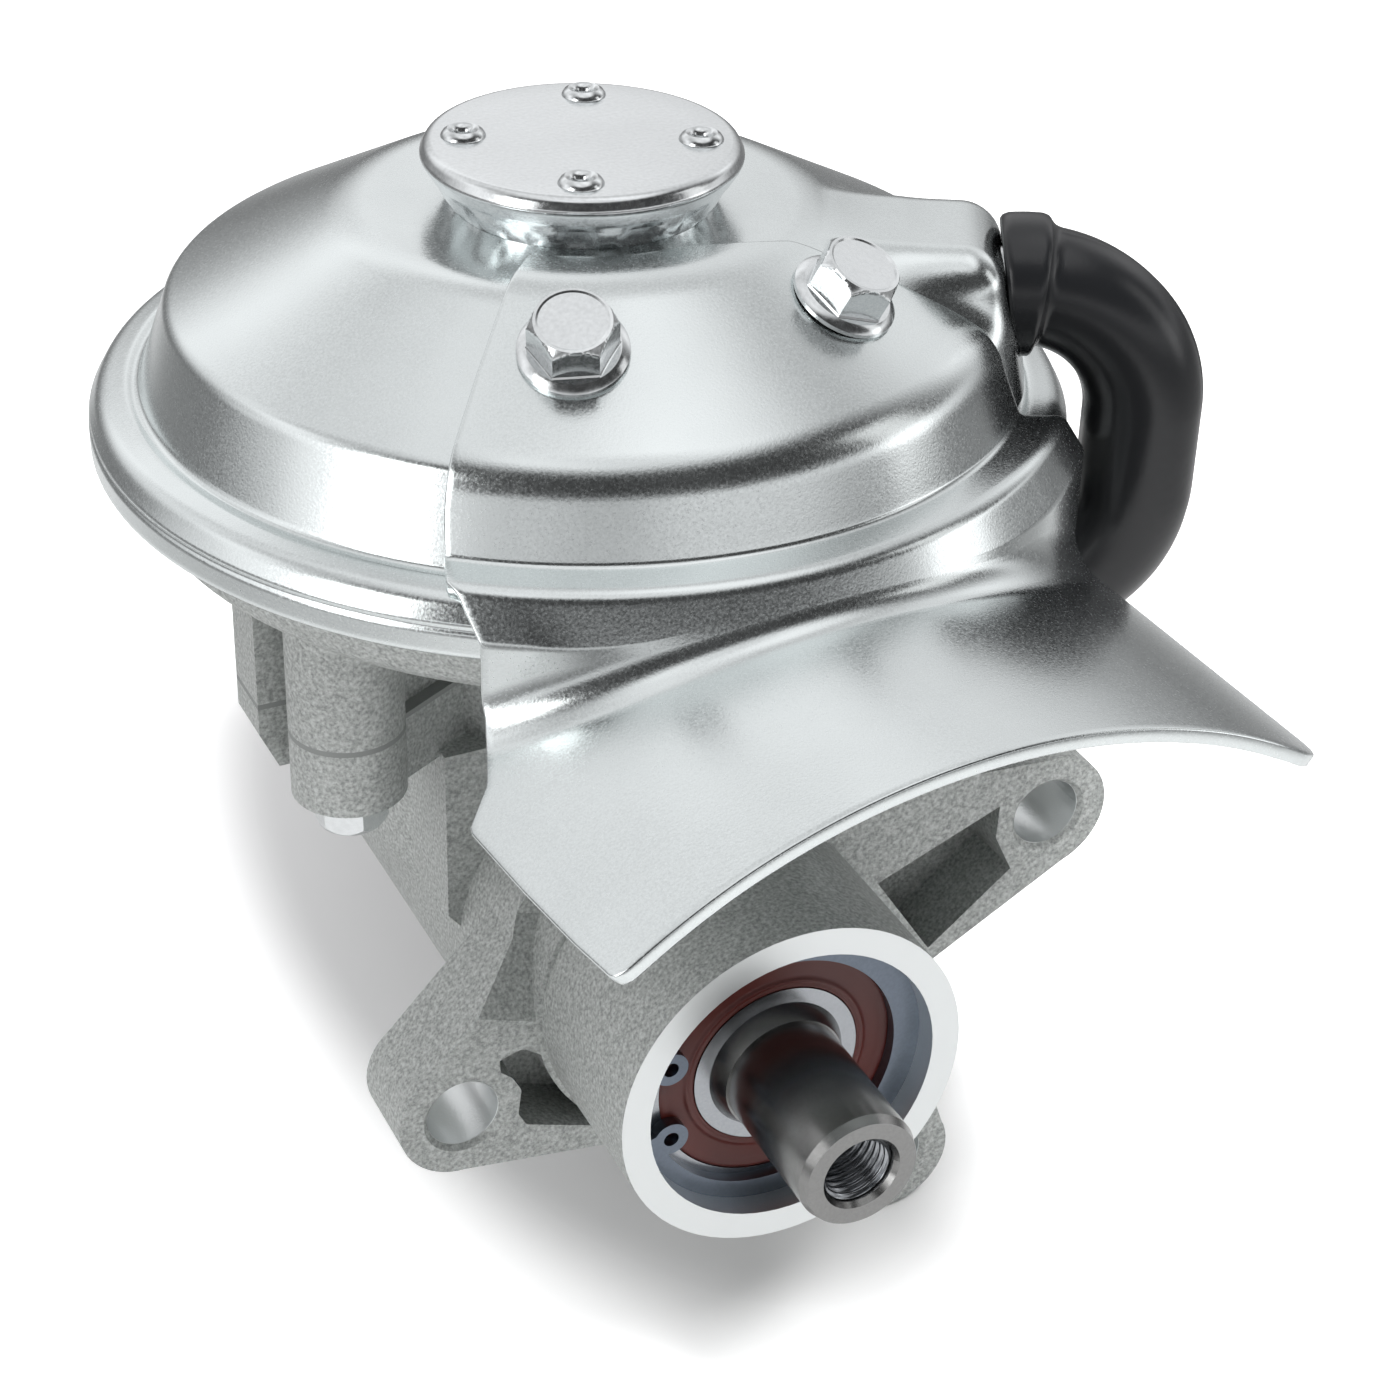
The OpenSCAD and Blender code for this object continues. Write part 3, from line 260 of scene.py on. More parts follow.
def cast_metal(name, colour):
    """The turned face is where y < 0.05 mm; its rings follow the distance from the shaft's axis."""
    material, tree, surface = new_material(name)
    place = add(tree, "ShaderNodeTexCoord").outputs["Object"]
    grain = add(tree, "ShaderNodeTexNoise", Vector=place, Scale=1900.0, Detail=3.0, Roughness=0.6)
    patches = add(tree, "ShaderNodeTexNoise", Vector=place, Scale=110.0, Detail=4.0)
    base = linear(colour)
    speckle = add(tree, "ShaderNodeMapRange", Value=grain.outputs["Fac"], i1=0.33, i2=0.67)
    tone = add(tree, "ShaderNodeMix", data_type="RGBA", Factor=speckle.outputs[0])
    tone.inputs[6].default_value = tuple(0.64 * v for v in base[:3]) + (1,)
    tone.inputs[7].default_value = tuple(min(1, 1.32 * v) for v in base[:3]) + (1,)
    axes = add(tree, "ShaderNodeSeparateXYZ", Vector=place)
    turned = add(tree, "ShaderNodeMath", operation="LESS_THAN", i0=axes.outputs["Y"], i1=0.00005).outputs[0]
    flat = add(tree, "ShaderNodeVectorMath", operation="MULTIPLY", i0=place, i1=(1.0, 0.0, 1.0)).outputs[0]
    machined = turned
    for x, z, bore_r in MACHINED_BORES:
        off = add(tree, "ShaderNodeVectorMath", operation="DISTANCE", i0=flat,
                  i1=(x / 1000, 0.0, z / 1000)).outputs["Value"]
        inside = add(tree, "ShaderNodeMath", operation="LESS_THAN", i0=off, i1=bore_r / 1000).outputs[0]
        machined = add(tree, "ShaderNodeMath", operation="MAXIMUM", i0=machined, i1=inside).outputs[0]
    ring = add(tree, "ShaderNodeVectorMath", operation="LENGTH",
               i0=add(tree, "ShaderNodeCombineXYZ", X=axes.outputs["X"], Y=axes.outputs["Z"]).outputs[0])
    rings = add(tree, "ShaderNodeTexNoise", noise_dimensions="1D", W=ring.outputs["Value"],
                Scale=3500.0, Detail=2.0)
    colour_mix = add(tree, "ShaderNodeMix", data_type="RGBA", Factor=machined)
    tree.links.new(tone.outputs[2], colour_mix.inputs[6])
    colour_mix.inputs[7].default_value = linear("#e4e7e7")
    swell = add(tree, "ShaderNodeMath", operation="MULTIPLY", i0=patches.outputs["Fac"], i1=2.0)
    depth = add(tree, "ShaderNodeMath", operation="ADD", i0=grain.outputs["Fac"], i1=swell.outputs[0])
    grooves = add(tree, "ShaderNodeMath", operation="MULTIPLY", i0=rings.outputs["Fac"], i1=0.12)
    height = add(tree, "ShaderNodeMix", data_type="FLOAT", Factor=turned)
    tree.links.new(depth.outputs[0], height.inputs[2])
    tree.links.new(grooves.outputs[0], height.inputs[3])
    bump = add(tree, "ShaderNodeBump", Height=height.outputs[0], Distance=0.00006, Strength=0.8)
    rough = add(tree, "ShaderNodeMix", data_type="FLOAT", Factor=machined)
    rough.inputs[2].default_value, rough.inputs[3].default_value = 0.55, 0.34
    metal = add(tree, "ShaderNodeMapRange", Value=machined, i3=0.45, i4=0.95).outputs[0]
    shader = add(tree, "ShaderNodeBsdfPrincipled", Base_Color=colour_mix.outputs[2], Metallic=metal,
                 Roughness=rough.outputs[0], Normal=bump.outputs[0])
    tree.links.new(shader.outputs[0], surface)
    return material


cast_aluminium = cast_metal("die_cast_aluminium", "#b2b5b3")


# Moulded rubber and pressed gasket paper: one even colour with a faint relief; paper is the rougher.
# The relief's swells are about 1 mm wide, drawn coarser than the real ones so that they show.
def soft_sheet(name, colour, rough):
    """A material that isn't metal, with a relief of 0.04 mm."""
    material, tree, surface = new_material(name)
    place = add(tree, "ShaderNodeTexCoord").outputs["Object"]
    fine = add(tree, "ShaderNodeTexNoise", Vector=place, Scale=900.0, Detail=3.0)
    bump = add(tree, "ShaderNodeBump", Height=fine.outputs["Fac"], Distance=0.00004, Strength=0.5)
    shader = add(tree, "ShaderNodeBsdfPrincipled", Base_Color=linear(colour), Roughness=rough,
                 Normal=bump.outputs[0])
    tree.links.new(shader.outputs[0], surface)
    return material


black_rubber = soft_sheet("black_moulded_rubber", "#1b1c1e", 0.27)
red_rubber = soft_sheet("red_brown_seal_rubber", "#5e2620", 0.42)
gasket_paper = soft_sheet("pressed_gasket_paper", "#8d908e", 0.7)
blued_steel = plated_metal("blued_spring_steel", "#6f7782", rough=0.3, grain=0.5, depth=0.001)

# Cover: one pressed skin of 1.5 mm plated sheet, revolved about the dome's axis, with the outlet
# snout drawn out of it. Lengths are in mm and angles in degrees; corners are (r, z, radius).
DOME = np.array([0.0, 71.6, 72.6])
SHEET, SNOUT_TURN = 1.5, -28
PLATEAU_R, PLATEAU_Z, CREST_R, CREST_Z = 31.8, 27, 56.3, 14.2
COVER_POINTS, DRAWN_POINTS = 210, 165
SNOUT_REACH, HALVINGS = 26.0, 26
cover_corners = [(7, PLATEAU_Z, 0), (PLATEAU_R, PLATEAU_Z, 12), (CREST_R, CREST_Z, 2.8), (60.6, 2.0, 0.9),
                 (62.1, 2.7, 1.6), (65.8, 1.9, 3), (67.5, -1.2, 0.3), (67.1, -1.5, 0.1), (67.1, -1.8, 0.1),
                 (67.5, -2.1, 0.3), (67.5, -5.7, 0.9), (63.5, -5.7, 0)]


def rounded_paths(corners, arc=9, line=3):
    """Paths through (..., k, 3) corners of (r, z, radius) in mm: each inner corner becomes a tangent
    arc of arc points, and each straight between two arcs gets line points."""
    corners = np.asarray(corners, float)
    place, radius = corners[..., :2], corners[..., 2]
    parts, last = [], place[..., 0, :]
    for k in range(1, corners.shape[-2] - 1):
        a = place[..., k - 1, :] - place[..., k, :]
        b = place[..., k + 1, :] - place[..., k, :]
        a, b = a / np.linalg.norm(a, axis=-1, keepdims=True), b / np.linalg.norm(b, axis=-1, keepdims=True)
        half = np.arccos(np.clip((a * b).sum(-1), -0.9999999, 1)) / 2
        reach = np.minimum(radius[..., k] / np.tan(half), 30.0)[..., None]
        start, stop, corner = place[..., k, :] + a * reach, place[..., k, :] + b * reach, place[..., k, :]
        w = np.linspace(0, 1, line, endpoint=False)[:, None]
        parts.append(last[..., None, :] * (1 - w) + start[..., None, :] * w)
        w = np.linspace(0, 1, arc)[:, None]
        weight = np.sin(half)[..., None, None]
        bezier = [(1 - w) ** 2, 2 * w * (1 - w) * weight, w ** 2]
        curve = (bezier[0] * start[..., None, :] + bezier[1] * corner[..., None, :]
                 + bezier[2] * stop[..., None, :]) / (bezier[0] + bezier[1] + bezier[2])
        parts.append(curve[..., :-1, :])
        last = stop
    w = np.linspace(0, 1, line)[:, None]
    parts.append(last[..., None, :] * (1 - w) + place[..., -1:, :] * w)
    return np.concatenate(parts, axis=-2)


def resample(path, count):
    """The path again with count points at even distances."""
    run = np.concatenate([[0], np.cumsum(np.linalg.norm(np.diff(path, axis=0), axis=1))])
    even = np.linspace(0, run[-1], count)
    return np.stack([np.interp(even, run, path[:, k]) for k in range(path.shape[1])], axis=1)


def path_normals(path):
    """Unit normals to the left of the path's direction, in its (r, z) plane."""
    along = np.gradient(path, axis=0)
    along /= np.linalg.norm(along, axis=1)[:, None]
    return np.stack([-along[:, 1], along[:, 0]], axis=1)


def snout_distance(p):
    """Distance in mm to the snout's block: planes q rounded by 5 mm, |max(q + 5, 0)| - 5;
    p is along, across and up."""
    flank = math.radians(7)
    lean = math.radians(9)
    q = np.stack([p[..., 2] - 25.3,
                  (p[..., 0] - 57.6) * math.cos(lean) + (p[..., 2] - 16.7) * math.sin(lean),
                  (np.abs(p[..., 1]) - 12.2) * math.cos(flank) + (p[..., 2] - 25) * math.sin(flank),
                  30 - p[..., 0]], axis=-1) + 5.0
    return np.linalg.norm(np.maximum(q, 0), axis=-1) + np.minimum(q.max(axis=-1), 0) - 5.0


def pressed_out(base, normal):
    """Skin of the cover: each point moves along its normal until the blended union of sheet and
    snout is left behind; how far is found by halving a reach in mm."""
    turn = math.radians(SNOUT_TURN)
    reach = np.hypot(base[..., 0], base[..., 1])
    soft = np.interp(reach, [30, 42], [1.0, 6.0])
    low, high = np.zeros(base.shape[:2]), np.full(base.shape[:2], SNOUT_REACH)
    for _ in range(HALVINGS):
        t = (low + high) / 2
        p = base + t[..., None] * normal
        local = np.stack([p[..., 0] * math.cos(turn) + p[..., 1] * math.sin(turn),
                          -p[..., 0] * math.sin(turn) + p[..., 1] * math.cos(turn), p[..., 2]], axis=-1)
        d = snout_distance(local)
        blend = np.maximum(soft - np.abs(t - d), 0) / soft
        inside = np.minimum(t, d) - blend ** 2 * soft / 4 < -1e-4
        low, high = np.where(inside, t, low), np.where(inside, high, t)
    fade = np.clip((base[..., 2] - 2.2) / 3, 0, 1)
    rise = np.where(high > 0.003, (low + high) / 2, 0) * fade * fade * (3 - 2 * fade)
    return base + rise[..., None] * normal


def ring_faces(rows, columns, closed=True):
    """Quads of a rows x columns grid; closed joins the last column to the first."""
    return [(r * columns + c, (r + 1) * columns + c,
             (r + 1) * columns + (c + 1) % columns, r * columns + (c + 1) % columns)
            for r in range(rows - 1) for c in range(columns if closed else columns - 1)]


def in_metres(points):
    """Dome coordinates in mm to the pump's frame in metres."""
    return (np.asarray(points).reshape(-1, 3) + DOME) / 1000


def weld(made, gap=0.00001):
    """Merges vertices that lie together, and turns all faces outwards."""
    shape = bmesh.new()
    shape.from_mesh(made.data)
    bmesh.ops.remove_doubles(shape, verts=shape.verts, dist=gap)
    bmesh.ops.recalc_face_normals(shape, faces=shape.faces)
    shape.to_mesh(made.data)
    shape.free()


outer = resample(rounded_paths(cover_corners, arc=14, line=8), COVER_POINTS)
azimuth = np.radians(SNOUT_TURN + np.concatenate([np.linspace(-34, 34, 230, endpoint=False),
                                                  np.linspace(34, 326, 126, endpoint=False)]))
around = np.stack([np.cos(azimuth), np.sin(azimuth)], axis=1)
base, normal = [np.concatenate([line[:, 0, None, None] * around,
                                np.broadcast_to(line[:, 1, None, None], (COVER_POINTS, len(azimuth), 1))],
                               axis=2) for line in (outer, path_normals(outer))]
skin = base.copy()
skin[:DRAWN_POINTS] = pressed_out(base[:DRAWN_POINTS], normal[:DRAWN_POINTS])
lining = (skin - SHEET * normal)[::-6]
cover = new_object("cover_skin", in_metres(np.concatenate([skin, lining, skin[:1]])),
                   ring_faces(len(skin) + len(lining) + 1, len(azimuth)), zinc_sheet)
weld(cover)
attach(cover, "housing")
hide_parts("top_cover")


# Shield: 2 mm plated sheet that lies on the cover, folds down past its rim and runs out as a vault
# over the shaft. Left and right edges are tables of (distance from the dome's axis, azimuth), and
# the apron's rims and lip of (x, y), all read from the photograph.
SHIELD, SHEET_GAP = 2.0, 0.06
YAW = math.radians(1.8)
VAULT_R, VAULT_X, VAULT_Z = 85.4, 3.0, -87.0
DROP_R = 70.2
left_edge = np.array([(24, -131.2), (45, -131.6), (60, -131.4), (66, -129.5), (70.2, -125.2), (70.9, -124.8),
                      (75.4, -124.0)])
right_edge = np.array([(24.4, -82.5), (28.0, -69.8), (28.7, -68.3), (32.4, -59.2), (42.7, -49.2),
                       (53.0, -44.8), (59.1, -45.6), (65.0, -43.0), (70.2, -39.7), (71, -40.3), (72, -41.2),
                       (73, -42.1), (74, -42.9), (76, -44.6)])
left_rim = [(-43.7, -65.9), (-46.0, -68.1), (-47.8, -69.9), (-47.3, -84), (-46.6, -96), (-45.9, -103.4)]
right_rim = [(54.6, -60), (54.8, -75), (55.0, -88), (55.2, -95.4)]
lip = [(-45.9, -103.4), (-45.5, -104.3), (-44.6, -104.7), (-30, -104.2), (0, -103.7), (30, -103.0),
       (46, -102.3), (50.5, -101.6), (53.2, -99.9), (54.7, -97.6), (55.2, -95.4)]


def moved_out(corners, t):
    """Corners of the path moved by t to its left, mitred."""
    points = np.array([c[:2] for c in corners], float)
    along = np.diff(points, axis=0)
    along /= np.linalg.norm(along, axis=1)[:, None]
    side = np.stack([-along[:, 1], along[:, 0]], axis=1)
    first, last = np.vstack([side[:1], side]), np.vstack([side, side[-1:]])
    return points + t * (first + last) / (1 + (first * last).sum(axis=1))[:, None]


def vault_height(x):
    """Height of the vault's upper face over x, in dome coordinates."""
    return VAULT_Z + np.sqrt(VAULT_R ** 2 - (x - VAULT_X) ** 2)


def edge_azimuth(u, r):
    """Azimuth in radians at share u from the left edge to the right one, at distance r."""
    left, right_side = np.interp(r, *left_edge.T), np.interp(r, *right_edge.T)
    return np.radians(left + u * (right_side - left))


u = np.linspace(0, 1, 121)
on_cover = moved_out(cover_corners[:5], SHIELD + SHEET_GAP)
FOOT_Z, RIM_PLACE, BROW_Z = 4.9, (67.1, 4.3), -1.6
crest, wall_end = on_cover[2], on_cover[3]
foot = crest + (wall_end - crest) * (crest[1] - FOOT_Z) / (crest[1] - wall_end[1])
fold_azimuth = edge_azimuth(u, DROP_R)
fold_x = DROP_R * np.cos(fold_azimuth)
fold_z = vault_height(fold_x)
share = np.clip((BROW_Z - fold_z) / 9, 0, 1)
slope = -(fold_x - VAULT_X) / np.sqrt(VAULT_R ** 2 - (fold_x - VAULT_X) ** 2) * np.cos(fold_azimuth)
rim_corner = np.stack([np.full_like(u, RIM_PLACE[0]), np.full_like(u, RIM_PLACE[1])], axis=1)
flat_fold = np.stack([RIM_PLACE[0] + (RIM_PLACE[1] - fold_z) * 0.525, fold_z], axis=1)
fold = flat_fold + (np.stack([np.full_like(u, DROP_R), fold_z], axis=1) - flat_fold) * share[:, None]
brow = (rim_corner + fold) / 2
brow += (np.array([DROP_R, BROW_Z]) - brow) * share[:, None]
beyond = fold + np.stack([np.full_like(u, 12.0), 12 * slope], axis=1)
column = np.zeros((len(u), 8, 3))
column[:, 0, :2] = 24.5, on_cover[0, 1]
column[:, 1] = *on_cover[1], 14
column[:, 2] = *crest, 9
column[:, 3] = *foot, 1
column[:, 4, :2], column[:, 4, 2] = rim_corner, 2.5
column[:, 5, :2], column[:, 5, 2] = brow, 2.5
column[:, 6, :2], column[:, 6, 2] = fold, 4 + 3 * share
column[:, 7, :2] = beyond
section = rounded_paths(column, arc=13, line=10)[:, :-10]
turned = edge_azimuth(u[:, None], section[..., 0])
upper = np.stack([section[..., 0] * np.cos(turned), section[..., 0] * np.sin(turned), section[..., 1]],
                 axis=-1)
settle = np.zeros(upper.shape[1])
settle[-13:] = np.linspace(0, 1, 13)
upper[..., 2] += settle * (vault_height(upper[:, -1:, 0]) - upper[:, -1:, 2])


def coons(near, far, left_side, right_side, rows):
    """Plan of the apron: the blended patch between the fold's end, the lip and the two side edges."""
    v = np.linspace(0, 1, rows)[None, :, None]
    w = np.linspace(0, 1, len(near))[:, None, None]
    near, far = near[:, None], far[:, None]
    left_side, right_side = left_side[None], right_side[None]
    corners = ((1 - w) * ((1 - v) * near[0] + v * far[0]) + w * ((1 - v) * near[-1] + v * far[-1]))
    return (1 - v) * near + v * far + (1 - w) * left_side + w * right_side - corners


near = upper[:, -1, :2]
plan = coons(near, resample(np.array(lip), len(u)), resample(np.array([near[0]] + left_rim), 44),
             resample(np.array([near[-1]] + right_rim), 44), 44)[:, 1:]
apron = np.concatenate([plan, vault_height(plan[..., :1])], axis=-1)
top = np.concatenate([upper, apron], axis=1)


def sheet_piece(name, top, thickness, material):
    """Closed sheet under the grid top: its underside is top - thickness * normal, and a rounded edge
    runs round it. The edge's section is (out, down) with a corner radius of about 0.35 mm."""
    a, b = np.gradient(top, axis=0), np.gradient(top, axis=1)
    n = np.cross(a, b)
    n /= np.linalg.norm(n, axis=-1, keepdims=True)
    n *= np.sign(n[n.shape[0] // 2, 8, 2])
    rows, columns = top.shape[:2]
    loop = [(i, 0) for i in range(rows - 1)] + [(rows - 1, j) for j in range(columns - 1)]
    loop += [(i, columns - 1) for i in range(rows - 1, 0, -1)] + [(0, j) for j in range(columns - 1, 0, -1)]
    i, j = np.array(loop).T
    p, side = top[i, j], n[i, j]
    along = np.roll(p, -1, axis=0) - np.roll(p, 1, axis=0)
    out = np.cross(along, side)
    out /= np.linalg.norm(out, axis=1)[:, None]
    inner = top[np.clip(i, 4, rows - 5), np.clip(j, 4, columns - 5)]
    out *= np.sign(((p - inner) * out).sum(axis=1).mean())
    edge_section = ((0, 0), (0.2, 0.06), (0.32, 0.3),
                    (0.32, thickness - 0.3), (0.2, thickness - 0.06), (0, thickness))
    edge = np.stack([p + o * out - d * side for o, d in edge_section])
    vertices = np.concatenate([v.reshape(-1, 3) for v in (top, top - thickness * n, edge)])
    count = rows * columns
    grid = ring_faces(rows, columns, False)
    faces = grid + [tuple(count + k for k in f[::-1]) for f in grid]
    faces += [tuple(2 * count + k for k in f) for f in ring_faces(len(edge_section), len(loop))]
    made = new_object(name, in_metres(vertices), faces, material)
    weld(made)
    return made


def turned_about_z(angle):
    """Matrix that turns row vectors by angle about z when they are multiplied by it."""
    c, s = math.cos(angle), math.sin(angle)
    return np.array([[c, s, 0], [-s, c, 0], [0, 0, 1]])


shield = sheet_piece("shield_sheet", top @ turned_about_z(YAW), SHIELD, zinc_sheet)
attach(shield, "housing")
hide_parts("shield")


# Hose: moulded rubber elbow between the snout and the port below it, with a thicker cuff at each end
# and a fine seam. It lies in the snout's upright plane; middle holds (x, z, direction) along it.
HOSE_X, HOSE_Z, BEND, RUN, PORT_X = 60.34, -0.585, 17.5, 12.0, 51.94
HOSE_R, CUFF_R, BORE_R, CUFF = 8.15, 9.7, 5.52, 4.8
upper_angle = np.radians(np.linspace(99, 0, 60))
lower_angle = np.radians(np.linspace(0, -90, 56))
middle = np.concatenate([
    np.stack([HOSE_X + BEND * np.cos(upper_angle), HOSE_Z + BEND * np.sin(upper_angle), upper_angle], axis=1),
    [[HOSE_X + BEND, HOSE_Z - RUN * k / 14, 0] for k in range(1, 14)],
    np.stack([HOSE_X + BEND * np.cos(lower_angle), HOSE_Z - RUN + BEND * np.sin(lower_angle), lower_angle],
             axis=1),
    [[x, HOSE_Z - RUN - BEND, -math.pi / 2] for x in np.linspace(HOSE_X, PORT_X, 20)[1:]]])
run = np.concatenate([[0], np.cumsum(np.linalg.norm(np.diff(middle[:, :2], axis=0), axis=1))])
stations = np.unique(np.concatenate([run, np.linspace(0, 8, 30), run[-1] - np.linspace(0, 8, 30)]))
middle = np.stack([np.interp(stations, run, middle[:, k]) for k in range(3)], axis=1)
reach = np.minimum(stations, run[-1] - stations)
radius = np.interp(reach, [0, 0.25, 0.8, CUFF - 0.9, CUFF - 0.3, CUFF, CUFF + 0.5, CUFF + 1.1],
                   [CUFF_R - 0.7, CUFF_R - 0.25, CUFF_R, CUFF_R, CUFF_R - 0.25, CUFF_R - 0.9,
                    HOSE_R + 0.15, HOSE_R])
angle = np.linspace(0, 2 * math.pi, 96, endpoint=False)
seam = 0.22 * np.exp(-(np.minimum(angle, 2 * math.pi - angle) * HOSE_R / 0.4) ** 2)
seam += 0.12 * np.exp(-((angle - math.pi) * HOSE_R / 0.4) ** 2)


def swept_rings(middle, radius):
    """Rings across the hose's route: middle + r * (cos a * outward + sin a * sideways)."""
    e = np.stack([np.cos(middle[:, 2]), np.zeros(len(middle)), np.sin(middle[:, 2])], axis=1)
    centre = np.stack([middle[:, 0], np.zeros(len(middle)), middle[:, 1]], axis=1)
    r = radius if radius.ndim == 2 else radius[:, None]
    return (centre[:, None] + (r * np.cos(angle))[..., None] * e[:, None]
            + (r * np.sin(angle))[..., None] * np.array([0, 1.0, 0]))


outside = swept_rings(middle, radius[:, None] + seam[None] * (reach > CUFF + 0.8)[:, None])
bore = swept_rings(middle[::-2], np.full(len(middle[::-2]), BORE_R))
rings = np.concatenate([outside, bore, outside[:1]])
hose = new_object("rubber_elbow", in_metres(rings @ turned_about_z(math.radians(SNOUT_TURN))),
                  ring_faces(len(rings), len(angle)), black_rubber)
weld(hose)
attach(hose, "housing")
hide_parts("hose")


# Shield bolts: cold-forged hex heads with a chamfered top and a round flange, brighter zinc than the
# sheet's. Their 10 mm hexagons belong to M6.
def turned_path(path, count):
    """Grid of a path of (r, z) points turned about z, one row a point."""
    a = np.linspace(0, 2 * math.pi, count, endpoint=False)
    path = np.asarray(path, float)
    heights = np.broadcast_to(path[:, 1:], (len(path), count))
    return np.stack([path[:, :1] * np.cos(a), path[:, :1] * np.sin(a), heights], axis=-1)


def capped_faces(start, rows, count):
    """Faces of a tube of rows rings of count points from vertex start on, with both ends closed."""
    faces = [tuple(start + k for k in f) for f in ring_faces(rows, count)]
    last = start + (rows - 1) * count
    return faces + [tuple(range(start, start + count)), tuple(range(last, last + count))[::-1]]


def hex_head(across, flange, height, count):
    """Rows of a flanged head: r = min(flat / cos(angle from the flat), chamfer cone), from the
    flange's edge to the top's middle."""
    a = np.linspace(0, 2 * math.pi, count, endpoint=False)
    flat = across / 2 / np.cos((a + math.pi / 6) % (math.pi / 3) - math.pi / 6)
    rows = [np.stack([r * np.cos(a), r * np.sin(a), np.full(count, z)], axis=-1)
            for r, z in ((flange - 0.25, 0), (flange, 0.25), (flange - 0.05, 0.75), (flange - 0.5, 1.2),
                         (across * 0.6, 1.5))]
    for z in (1.5, 1.75, height - 1.5, height - 1.2, height - 0.9, height - 0.6, height - 0.3, height):
        r = np.minimum(flat * (1.03 if z == 1.5 else 1), across * 0.49 + (height - z) * 0.75)
        rows.append(np.stack([r * np.cos(a), r * np.sin(a), np.full(count, z)], axis=-1))
    for r, z in ((across * 0.455, height + 0.02), (across * 0.43, height - 0.12), (0.05, height - 0.12)):
        rows.append(np.stack([r * np.cos(a), r * np.sin(a), np.full(count, z)], axis=-1))
    return np.stack(rows)


def tilted(points, azimuth, distance, height, lean, twist):
    """Points about a local z moved to an azimuth and distance in dome coordinates and leaned outwards."""
    turn = Matrix.Rotation(azimuth, 3, "Z") @ Matrix.Rotation(lean, 3, "Y") @ Matrix.Rotation(twist, 3, "Z")
    foot_point = np.array([distance * math.cos(azimuth), distance * math.sin(azimuth), height])
    return points @ np.array(turn).T + foot_point


CONE_DROP, CONE_RUN = 12.8, 24.5
BOLT_DISTANCE, BOLT_POINTS = 41.0, 144
head_rows = hex_head(10, 7.1, 6.4, BOLT_POINTS)
shank = turned_path([(3.0, 0), (3.0, -7.4), (2.5, -7.9), (0.05, -7.9)], BOLT_POINTS)
rows = np.concatenate([shank[::-1], head_rows]) + np.array([0, 0, SHIELD + SHEET_GAP])
cone_height = PLATEAU_Z - (BOLT_DISTANCE - PLATEAU_R) * CONE_DROP / CONE_RUN
vertices, faces = [], []
for azimuth, twist in ((math.radians(-115.2), 0.1), (math.radians(-61.2), 0.42)):
    faces += capped_faces(len(vertices) * len(rows) * BOLT_POINTS, len(rows), BOLT_POINTS)
    vertices.append(in_metres(tilted(rows.reshape(-1, 3), azimuth, BOLT_DISTANCE, cone_height,
                                     math.atan(CONE_DROP / CONE_RUN), twist)))
bolts = new_object("flanged_bolts", np.concatenate(vertices), faces, zinc_bright)
weld(bolts, 0.000001)
bolts.data.set_sharp_from_angle(angle=math.radians(24))
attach(bolts, "housing")
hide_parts("shield_bolts")

# Cap rivets: four tubular steel rivets through the vent cap and the cover, 15.8 mm from the dome's
# axis. Their ends are rolled over into a small round ring that catches a bright spot.
RIVET_DISTANCE, RIVET_POINTS = 15.8, 40
path = [(0.05, 6.3), (0.85, 6.35), (0.95, 8.1), (1.15, 8.8), (1.6, 9.3), (2.15, 9.4), (2.65, 9.1), (3.0, 8.6),
        (3.05, 8.42), (1.5, 8.42), (1.5, -2.3), (2.5, -2.3), (2.5, -2.9), (2.2, -3.1), (0.05, -3.1)]
vertices, faces = [], []
for azimuth in np.radians(-24.4 + 90 * np.arange(4)):
    faces += capped_faces(len(vertices) * len(path) * RIVET_POINTS, len(path), RIVET_POINTS)
    centre = np.array([RIVET_DISTANCE * math.cos(azimuth), RIVET_DISTANCE * math.sin(azimuth), PLATEAU_Z])
    vertices.append(in_metres(turned_path(path, RIVET_POINTS) + centre))
rivets = new_object("tubular_rivets", np.concatenate(vertices), faces, zinc_bright)
weld(rivets, 0.000001)
rivets.data.set_sharp_from_angle(angle=math.radians(40))
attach(rivets, "housing")
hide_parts("cap_rivets")

# Vent cap: pressed from 0.9 mm plated sheet, its edge rolled under and its skirt crimped into 14
# shallow flats that catch the light one by one.
CAP_SHEET, CAP_POINTS, CRIMPS, CRIMP_DEPTH = 0.9, 192, 14, 0.35
rim_line = rounded_paths([(0.05, 8.4, 0), (20.8, 8.4, 1.5), (21.8, 6.5, 1.0), (20.5, 4.4, 0.9),
                          (19.5, 3.1, 0.8), (17.6, 0.02, 0)], arc=9, line=5)
inner_line = rim_line - CAP_SHEET * path_normals(rim_line)
section = np.concatenate([rim_line, inner_line[::-1], rim_line[:1]])
section[:, 0] = np.maximum(section[:, 0], 0.05)
section[:, 1] = np.maximum(section[:, 1], 0.02)
rows = turned_path(section, CAP_POINTS)
angle = np.linspace(0, 2 * math.pi, CAP_POINTS, endpoint=False)
dent = CRIMP_DEPTH * np.clip(1.5 * np.cos(CRIMPS * angle), -1, 1)
dent = dent * np.clip((4.0 - rows[..., 2]) / 1.2, 0, 1) * np.clip(rows[..., 2] / 0.8, 0, 1)
rows[..., :2] *= 1 + (dent / np.maximum(np.hypot(rows[..., 0], rows[..., 1]), 5.0))[..., None]
cap = new_object("rolled_vent_cap", in_metres(rows + np.array([0, 0, PLATEAU_Z])),
                 ring_faces(len(rows), CAP_POINTS), zinc_bright)
weld(cap, 0.000001)
cap.data.set_sharp_from_angle(angle=math.radians(50))
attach(cap, "housing")
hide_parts("vent_cap")

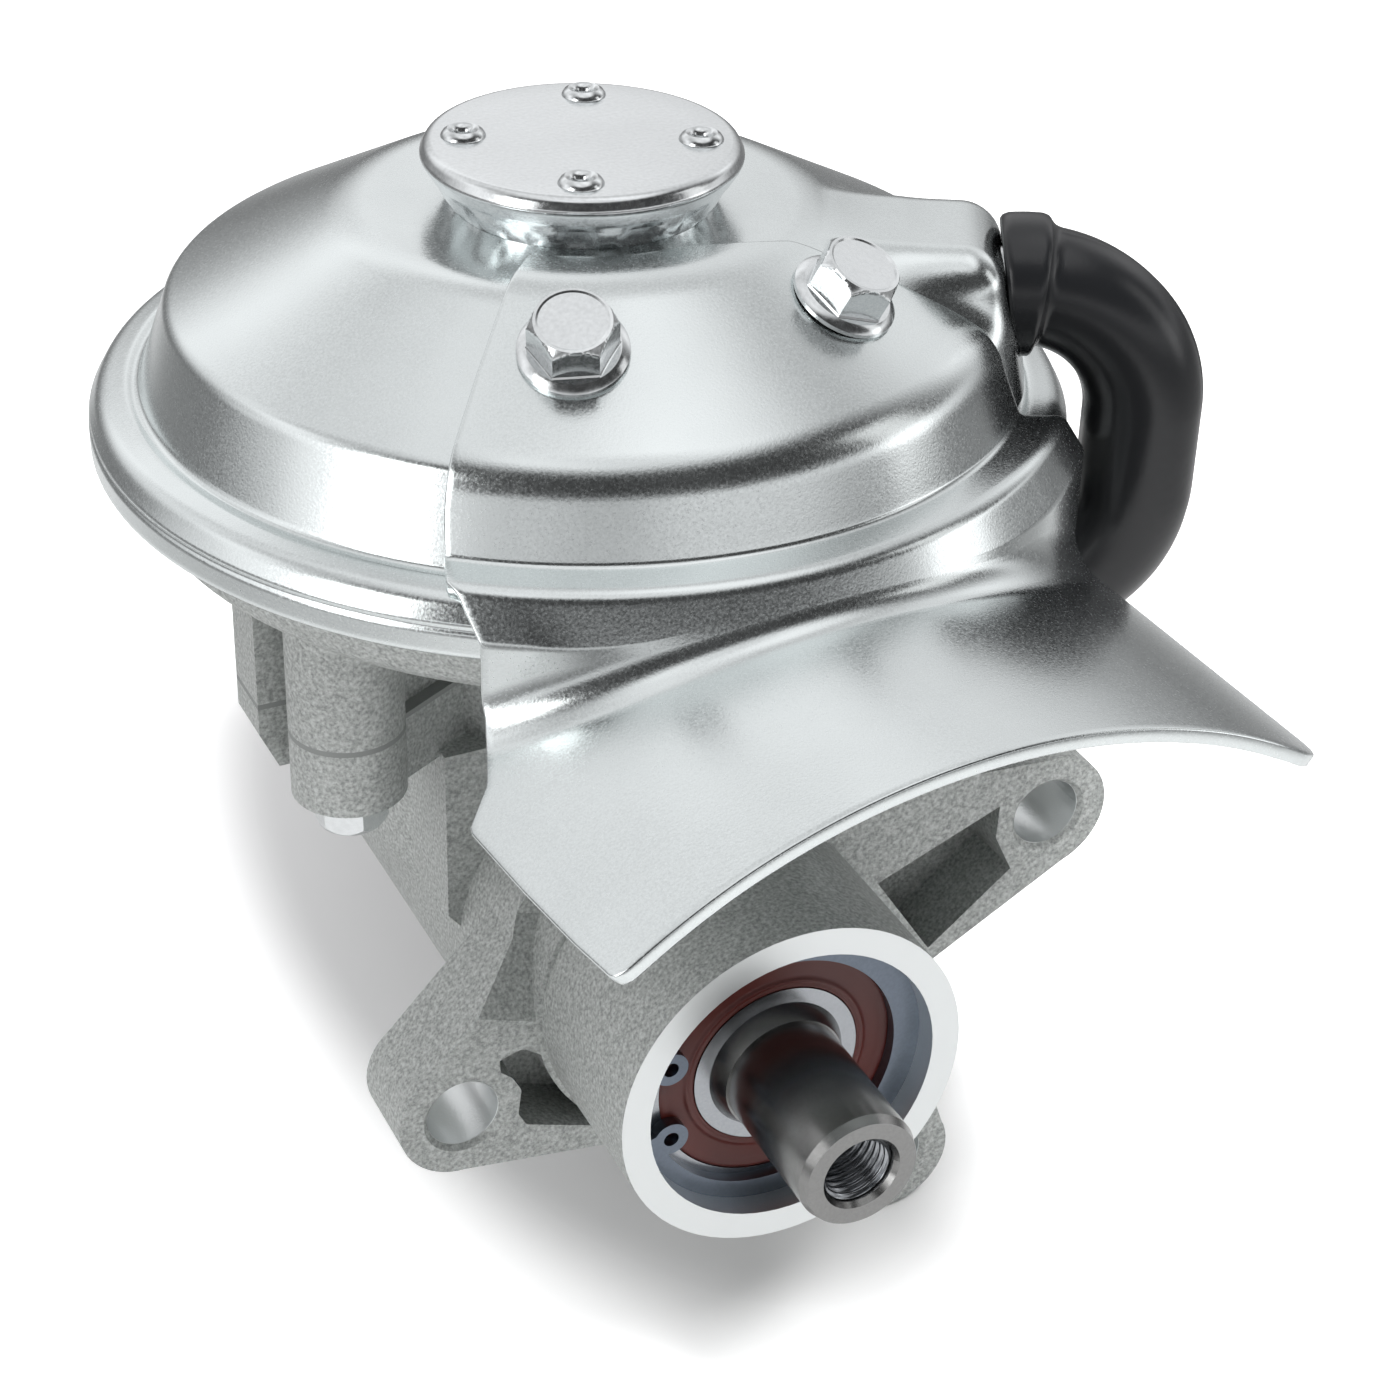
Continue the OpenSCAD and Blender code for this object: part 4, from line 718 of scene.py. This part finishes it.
# Bearing seal: moulded red-brown rubber, with two fine lips round the inner ring and a bead outside.
# It is turned about the shaft's axis; its path is (radius, y) in mm.
SEAL_POINTS = 120
path = [(12.35, 5.72), (12.35, 5.5), (12.6, 5.42), (12.8, 5.62), (13.05, 5.62), (13.2, 5.5), (13.45, 5.5),
        (13.6, 5.78), (14.1, 5.86), (15.9, 5.82), (16.4, 5.74), (16.9, 5.52), (17.3, 5.5), (17.46, 5.62),
        (17.46, 6.55), (12.35, 6.55)]
rows = turned_path(path + path[:1], SEAL_POINTS)
seal = new_object("bearing_seal_ring", rows[..., [0, 2, 1]].reshape(-1, 3) / 1000,
                  ring_faces(len(rows), SEAL_POINTS), red_rubber)
weld(seal, 0.000001)
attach(seal, "housing")
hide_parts("front_bearing_seal")

# Thread in the shaft's end: 1.25 mm pitch, cut into the bore down to the tap drill. It shows as fine
# bright rings inside the shaft and turns with it.
THREAD_R, THREAD_DEPTH, PITCH, THREAD_POINTS = 5.08, 0.62, 1.25, 64
depth = np.arange(-18.2, 3, 0.125)
angle = np.linspace(0, 2 * math.pi, THREAD_POINTS, endpoint=False)
phase = (depth[:, None] / PITCH - angle[None] / (2 * math.pi)) % 1
r = THREAD_R - THREAD_DEPTH * np.clip(1.6 * (1 - np.abs(2 * phase - 1)) - 0.25, 0, 1)
along = np.broadcast_to(depth[:, None], r.shape)
thread = np.stack([r * np.cos(angle), along, r * np.sin(angle)], axis=-1) / 1000
thread_piece = new_object("shaft_thread", thread.reshape(-1, 3),
                          [f[::-1] for f in ring_faces(len(depth), THREAD_POINTS)], ground_steel)
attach(thread_piece, "shaft")

# Finishes of the pieces that come straight from the solids: each gets the metal, rubber or paper of
# its slot from those above. Both circlips are blued spring steel.
CIRCLIPS = ("front_circlip", "rear_circlip")
finishes = {"cast_aluminium": cast_aluminium, "pressed_steel": zinc_sheet, "zinc_steel": zinc_bright,
            "dark_steel": dark_steel, "bearing_steel": ground_steel, "black_rubber": black_rubber,
            "red_rubber": red_rubber, "gasket_sheet": gasket_paper}
for part in frame["record"]["subparts"]:
    mesh = nodes[part["node"]].data
    mesh.materials.clear()
    mesh.materials.append(blued_steel if part["node"] in CIRCLIPS else finishes[part["material_slot"]])
